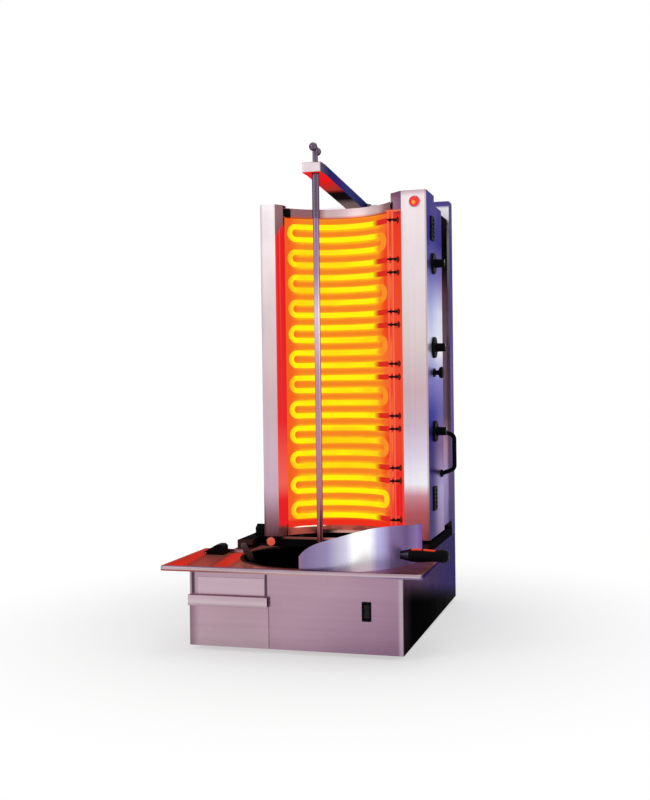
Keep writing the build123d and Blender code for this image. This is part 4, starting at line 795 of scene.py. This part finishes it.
black_plastic = moulded("black_plastic", shown(9, 9, 11), 0.5).material
dress(black_plastic, "tray_catch", "lock_knob", "dial_1", "dial_2", "dial_3", "rocker_frame",
      "panel_switches", "cable_gland", "bow_handle", "stop_button")
dress(moulded("rocker_black", shown(14, 14, 16), 0.3, gloss=0.15).material, "rocker")
dress(moulded("black_enamel", shown(8, 6, 8), 0.5).material, "side_grilles")
dress(moulded("foot_rubber", shown(26, 26, 26), 0.8).material, "feet")
dress(moulded("motor_enamel", shown(60, 66, 74), 0.4, gloss=0.5).material, "motor")
dress(moulded("cast_case", shown(166, 168, 170), 0.5, 300.0, gloss=0.5).material, "gearbox")
dress(moulded("terminal_plastic", shown(204, 198, 186), 0.5, gloss=0.5).material,
      "terminal_block")


def fascia_finish():
    """Black enamel whose upper edge gives back the light of the band above it."""
    finish = moulded("fascia_enamel", shown(8, 6, 8), 0.5)
    tree = finish.tree
    edge = product(tree, level(tree, finish.z, 0.2000, 0.2035),
                   band(tree, finish.x, 0.0, 0.115, 0.02), 0.85)
    finish.glow(along(tree, finish.x, (-0.13, 120, 66, 60), (-0.02, 130, 74, 66),
                      (0.01, 222, 168, 150), (0.05, 222, 168, 150), (0.11, 130, 84, 78)), edge)
    return finish.material


def collar_finish():
    """Dark ceramic that the tubes light from above and below."""
    finish = moulded("collar_ceramic", shown(26, 20, 21), 0.6, 500.0, gloss=0.1)
    tree = finish.tree
    turned = level(tree, maths(tree, "ABSOLUTE", finish.to_top), 0.28, 0.60)
    finish.glow(shown(238, 62, 36), product(tree, turned, 0.9))
    return finish.material


dress(fascia_finish(), "carriage_fascia")
dress(collar_finish(), "element_collars")

# %% Guard's grip and ferrule
GRIP_GLINTS = ((0.262, 0.010), (0.291, 0.012))


def grip_finish():
    """Black grip with two red glints of the glow along its upper side."""
    finish = moulded("grip_black", shown(12, 11, 13), 0.40)
    tree = finish.tree
    glints = [band(tree, finish.x, middle, half, 0.003) for middle, half in GRIP_GLINTS]
    on_top = level(tree, finish.to_top, 0.75, 0.92)
    finish.glow(shown(236, 66, 34), product(tree, maths(tree, "MAXIMUM", *glints), on_top, 0.9))
    return finish.material


dress(grip_finish(), "guard_grip")
dress(brushed("ferrule_steel", shown(62, 54, 66), ALONG_X, rough=(0.2, 0.35)), "guard_ferrule")

# %% [markdown]
# Two pilot lamps glow: one at the top of the column, and a dimmer one at the left post's foot. A
# lamp inside a glass cap would cost light paths for a thing this small, so the lens glows itself.

# %% Pilot lamp lenses
CORE_X, CORE_Z = 0.220, 1.033
FOOT_LAMP_TOP = 0.30


def lamp_lens():
    """Red lens with a yellow core where the bulb sits; the lamp at the foot is dimmer."""
    finish = Finish("lamp_lens", roughness=0.2)
    tree = finish.tree
    finish.put("Base Color", shown(120, 20, 10))
    finish.put("Specular IOR Level", 0.3)
    away = diagonal(tree, maths(tree, "SUBTRACT", finish.x, CORE_X),
                    maths(tree, "SUBTRACT", finish.z, CORE_Z))
    ripple = product(tree, finish.noise(300.0), 0.004)
    core = level(tree, maths(tree, "ADD", away, ripple), 0.0035, 0.0085, 1.0, 0.0)
    bright = mixed(tree, core, shown(232, 44, 30), shown(255, 184, 30))
    upper_lamp = level(tree, finish.z, FOOT_LAMP_TOP, FOOT_LAMP_TOP + 0.01)
    finish.glow(mixed(tree, upper_lamp, shown(204, 84, 62), bright), 0.95)
    return finish.material


dress(lamp_lens(), "lamp_lenses")

# %% [markdown]
# A few small things are too fine for the CAD model: the clip at the left end of the upper band, the
# handle that lifts the drip pan, and the marks on the dials. The clip and the marks are blocks with
# rounded edges. The handle could be a curve object with a round bevel, but rings laid along a path
# give a mesh that exports as it is.

# %% Helpers for small pieces
def small_piece(title, work, material, body):
    """Make a smooth piece of a mesh in work and let it ride on a body."""
    mesh = bpy.data.meshes.new(title)
    work.to_mesh(mesh)
    work.free()
    for face in mesh.polygons:
        face.use_smooth = True
    made = bpy.data.objects.new(title, mesh)
    scene.collection.objects.link(made)
    mesh.materials.append(material)
    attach(made, body)
    print(title, "on", body, "with", len(mesh.polygons), "faces")


def rounded_block(title, low, high, radius, material, body):
    """A block with rounded edges between two corners."""
    work = bmesh.new()
    bmesh.ops.create_cube(work, size=1.0)
    size = [b - a for a, b in zip(low, high)]
    middle = [(a + b) / 2 for a, b in zip(low, high)]
    for vertex in work.verts:
        vertex.co = [m + s * c for m, s, c in zip(middle, size, vertex.co)]
    bmesh.ops.bevel(work, geom=work.edges[:], offset=radius, segments=4, profile=0.5,
                    affect="EDGES")
    small_piece(title, work, material, body)


def bent_bar(title, path, radius, material, body, sides=16, end_share=0.70):
    """A bar laid as rings along a path, its closed ends a little thinner."""
    work = bmesh.new()
    last = len(path) - 1
    rings = []
    for index, spot in enumerate(path):
        ahead = path[min(index + 1, last)] - path[max(index - 1, 0)]
        turn = ahead.to_track_quat("Z", "Y")
        swell = radius * (end_share if index in (0, last) else 1.0)
        corners = [Vector((swell * math.cos(2 * math.pi * k / sides),
                           swell * math.sin(2 * math.pi * k / sides), 0.0)) for k in range(sides)]
        rings.append([work.verts.new(spot + turn @ corner) for corner in corners])
    for lower, upper in zip(rings, rings[1:]):
        for k in range(sides):
            after = (k + 1) % sides
            work.faces.new((lower[k], lower[after], upper[after], upper[k]))
    work.faces.new(list(reversed(rings[0])))
    work.faces.new(rings[-1])
    bmesh.ops.recalc_face_normals(work, faces=work.faces[:])
    small_piece(title, work, material, body)


# %% Band clip
rounded_block("band_clip", (-0.1215, -0.006, 1.0185), (-0.1090, 0.012, 1.0405), 0.0015,
              black_plastic, "heater_head")

# %% Pan handle
HANDLE_FEET = (Vector((-0.1845, -0.140, 0.1815)), Vector((-0.1290, -0.2610, 0.1815)))
HANDLE_RISE = 0.025
HANDLE_BULGE = Vector((-0.012, -0.006, 0.0))
HANDLE_RADIUS = 0.0068


def handle_path(steps=24):
    """Half a flat oval between the two feet on the pan's flange."""
    start, end = HANDLE_FEET
    for index in range(steps + 1):
        angle = math.pi * index / steps
        across = start.lerp(end, 0.5 - 0.5 * math.cos(angle))
        outward = HANDLE_BULGE * math.sin(angle)
        yield across + outward + Vector((0.0, 0.0, HANDLE_RISE * math.sin(angle) ** 0.6))


handle_brown = moulded("handle_brown", shown(46, 30, 30), 0.5).material
bent_bar("pan_handle", list(handle_path()), HANDLE_RADIUS, handle_brown, "base")

# %% Marks on the dials
DIALS = (("dial_upper", 0.891), ("dial_middle", 0.681), ("dial_lower", 0.471))
DIAL_Y = 0.052
MARK_HALF_WIDTH = 0.0008
mark_white = moulded("mark_white", shown(226, 226, 222), 0.5, gloss=0.4).material


def dial_mark(number, body, height):
    """A thin white line on the end of a dial's grip, with the dial at rest pointing up."""
    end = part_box(f"dial_{number}")[1][0]
    rounded_block(f"dial_mark_{number}", (end - 0.0004, DIAL_Y - MARK_HALF_WIDTH, height + 0.002),
                  (end + 0.0003, DIAL_Y + MARK_HALF_WIDTH, height + 0.0095), 0.0002, mark_white,
                  body)


for number, (body, height) in enumerate(DIALS, 1):
    dial_mark(number, body, height)

# %% [markdown]
# The studio: a pale floor that fades into a white backdrop, with a large soft lamp on the left, one
# above and a weaker one on the right. The background is white because the camera sees it at a
# strength of one; more light would only burn out the pale sheets. Far from the grill the floor
# turns into that same white, so no horizon shows, and near the grill it stays a real floor that
# keeps the shadow.

# %% Floor
FLOOR_REACH = 12.0
FLOOR_FADE = (0.30, 1.10)
WHITE = (1.0, 1.0, 1.0)

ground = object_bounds()[0][2]
corners = [(FLOOR_REACH * x, FLOOR_REACH * y, ground)
           for x, y in ((-1, -1), (1, -1), (1, 1), (-1, 1))]
floor_mesh = bpy.data.meshes.new("studio_floor")
floor_mesh.from_pydata(corners, [], [(0, 1, 2, 3)])
studio_floor = bpy.data.objects.new("studio_floor", floor_mesh)
scene.collection.objects.link(studio_floor)


def floor_finish():
    """Pale floor near the grill, the backdrop's white far from it."""
    finish = Finish("studio_floor", roughness=0.9)
    tree = finish.tree
    specks = finish.noise(30.0)
    finish.put("Base Color", mixed(tree, specks, (0.90, 0.90, 0.90), (0.94, 0.94, 0.94)))
    finish.put("Specular IOR Level", 0.1)
    rays = add(tree, "ShaderNodeLightPath")
    seen = maths(tree, "MAXIMUM", rays.outputs["Is Camera Ray"], rays.outputs["Is Glossy Ray"])
    away = diagonal(tree, finish.x, finish.y)
    white_part = product(tree, seen, level(tree, away, *FLOOR_FADE, 0.50, 1.0))
    white = add(tree, "ShaderNodeEmission", {"Color": WHITE, "Strength": 1.0})
    blend = add(tree, "ShaderNodeMixShader", {"Fac": white_part})
    tree.links.new(finish.shader.outputs[0], blend.inputs[1])
    tree.links.new(white.outputs[0], blend.inputs[2])
    tree.links.new(blend.outputs[0], tree.nodes["Material Output"].inputs["Surface"])
    return finish.material


floor_mesh.materials.append(floor_finish())
print("floor at", round(ground, 3))

# %% World and lamps
world = bpy.data.worlds.new("studio")
scene.world = world
world.use_nodes = True
sky = world.node_tree
backdrop = sky.nodes["Background"]
rays = add(sky, "ShaderNodeLightPath")
seen = maths(sky, "MAXIMUM", rays.outputs["Is Camera Ray"], rays.outputs["Is Glossy Ray"])
seen = maths(sky, "MAXIMUM", seen, rays.outputs["Is Transmission Ray"])
feed(sky, level(sky, seen, 0.0, 1.0, 0.55, 1.0), backdrop.inputs["Strength"])
feed(sky, WHITE, backdrop.inputs["Color"])


def softbox(title, spot, aim, width, height, watts):
    """A rectangular white lamp that faces a point."""
    lamp = bpy.data.lights.new(title, "AREA")
    lamp.shape = "RECTANGLE"
    lamp.size, lamp.size_y = width, height
    lamp.energy = watts
    lamp.color = WHITE
    made = bpy.data.objects.new(title, lamp)
    made.location = spot
    made.rotation_euler = (Vector(aim) - Vector(spot)).to_track_quat("-Z", "Y").to_euler()
    scene.collection.objects.link(made)


softbox("key_lamp", (-2.4, -2.6, 2.4), (0.0, 0.0, 0.5), 1.6, 1.6, 24.0)
softbox("top_lamp", (0.4, 0.4, 3.2), (0.0, 0.0, 0.5), 2.0, 2.0, 20.0)
softbox("side_lamp", (2.8, -0.6, 1.2), (0.2, 0.0, 0.6), 1.0, 1.8, 6.0)
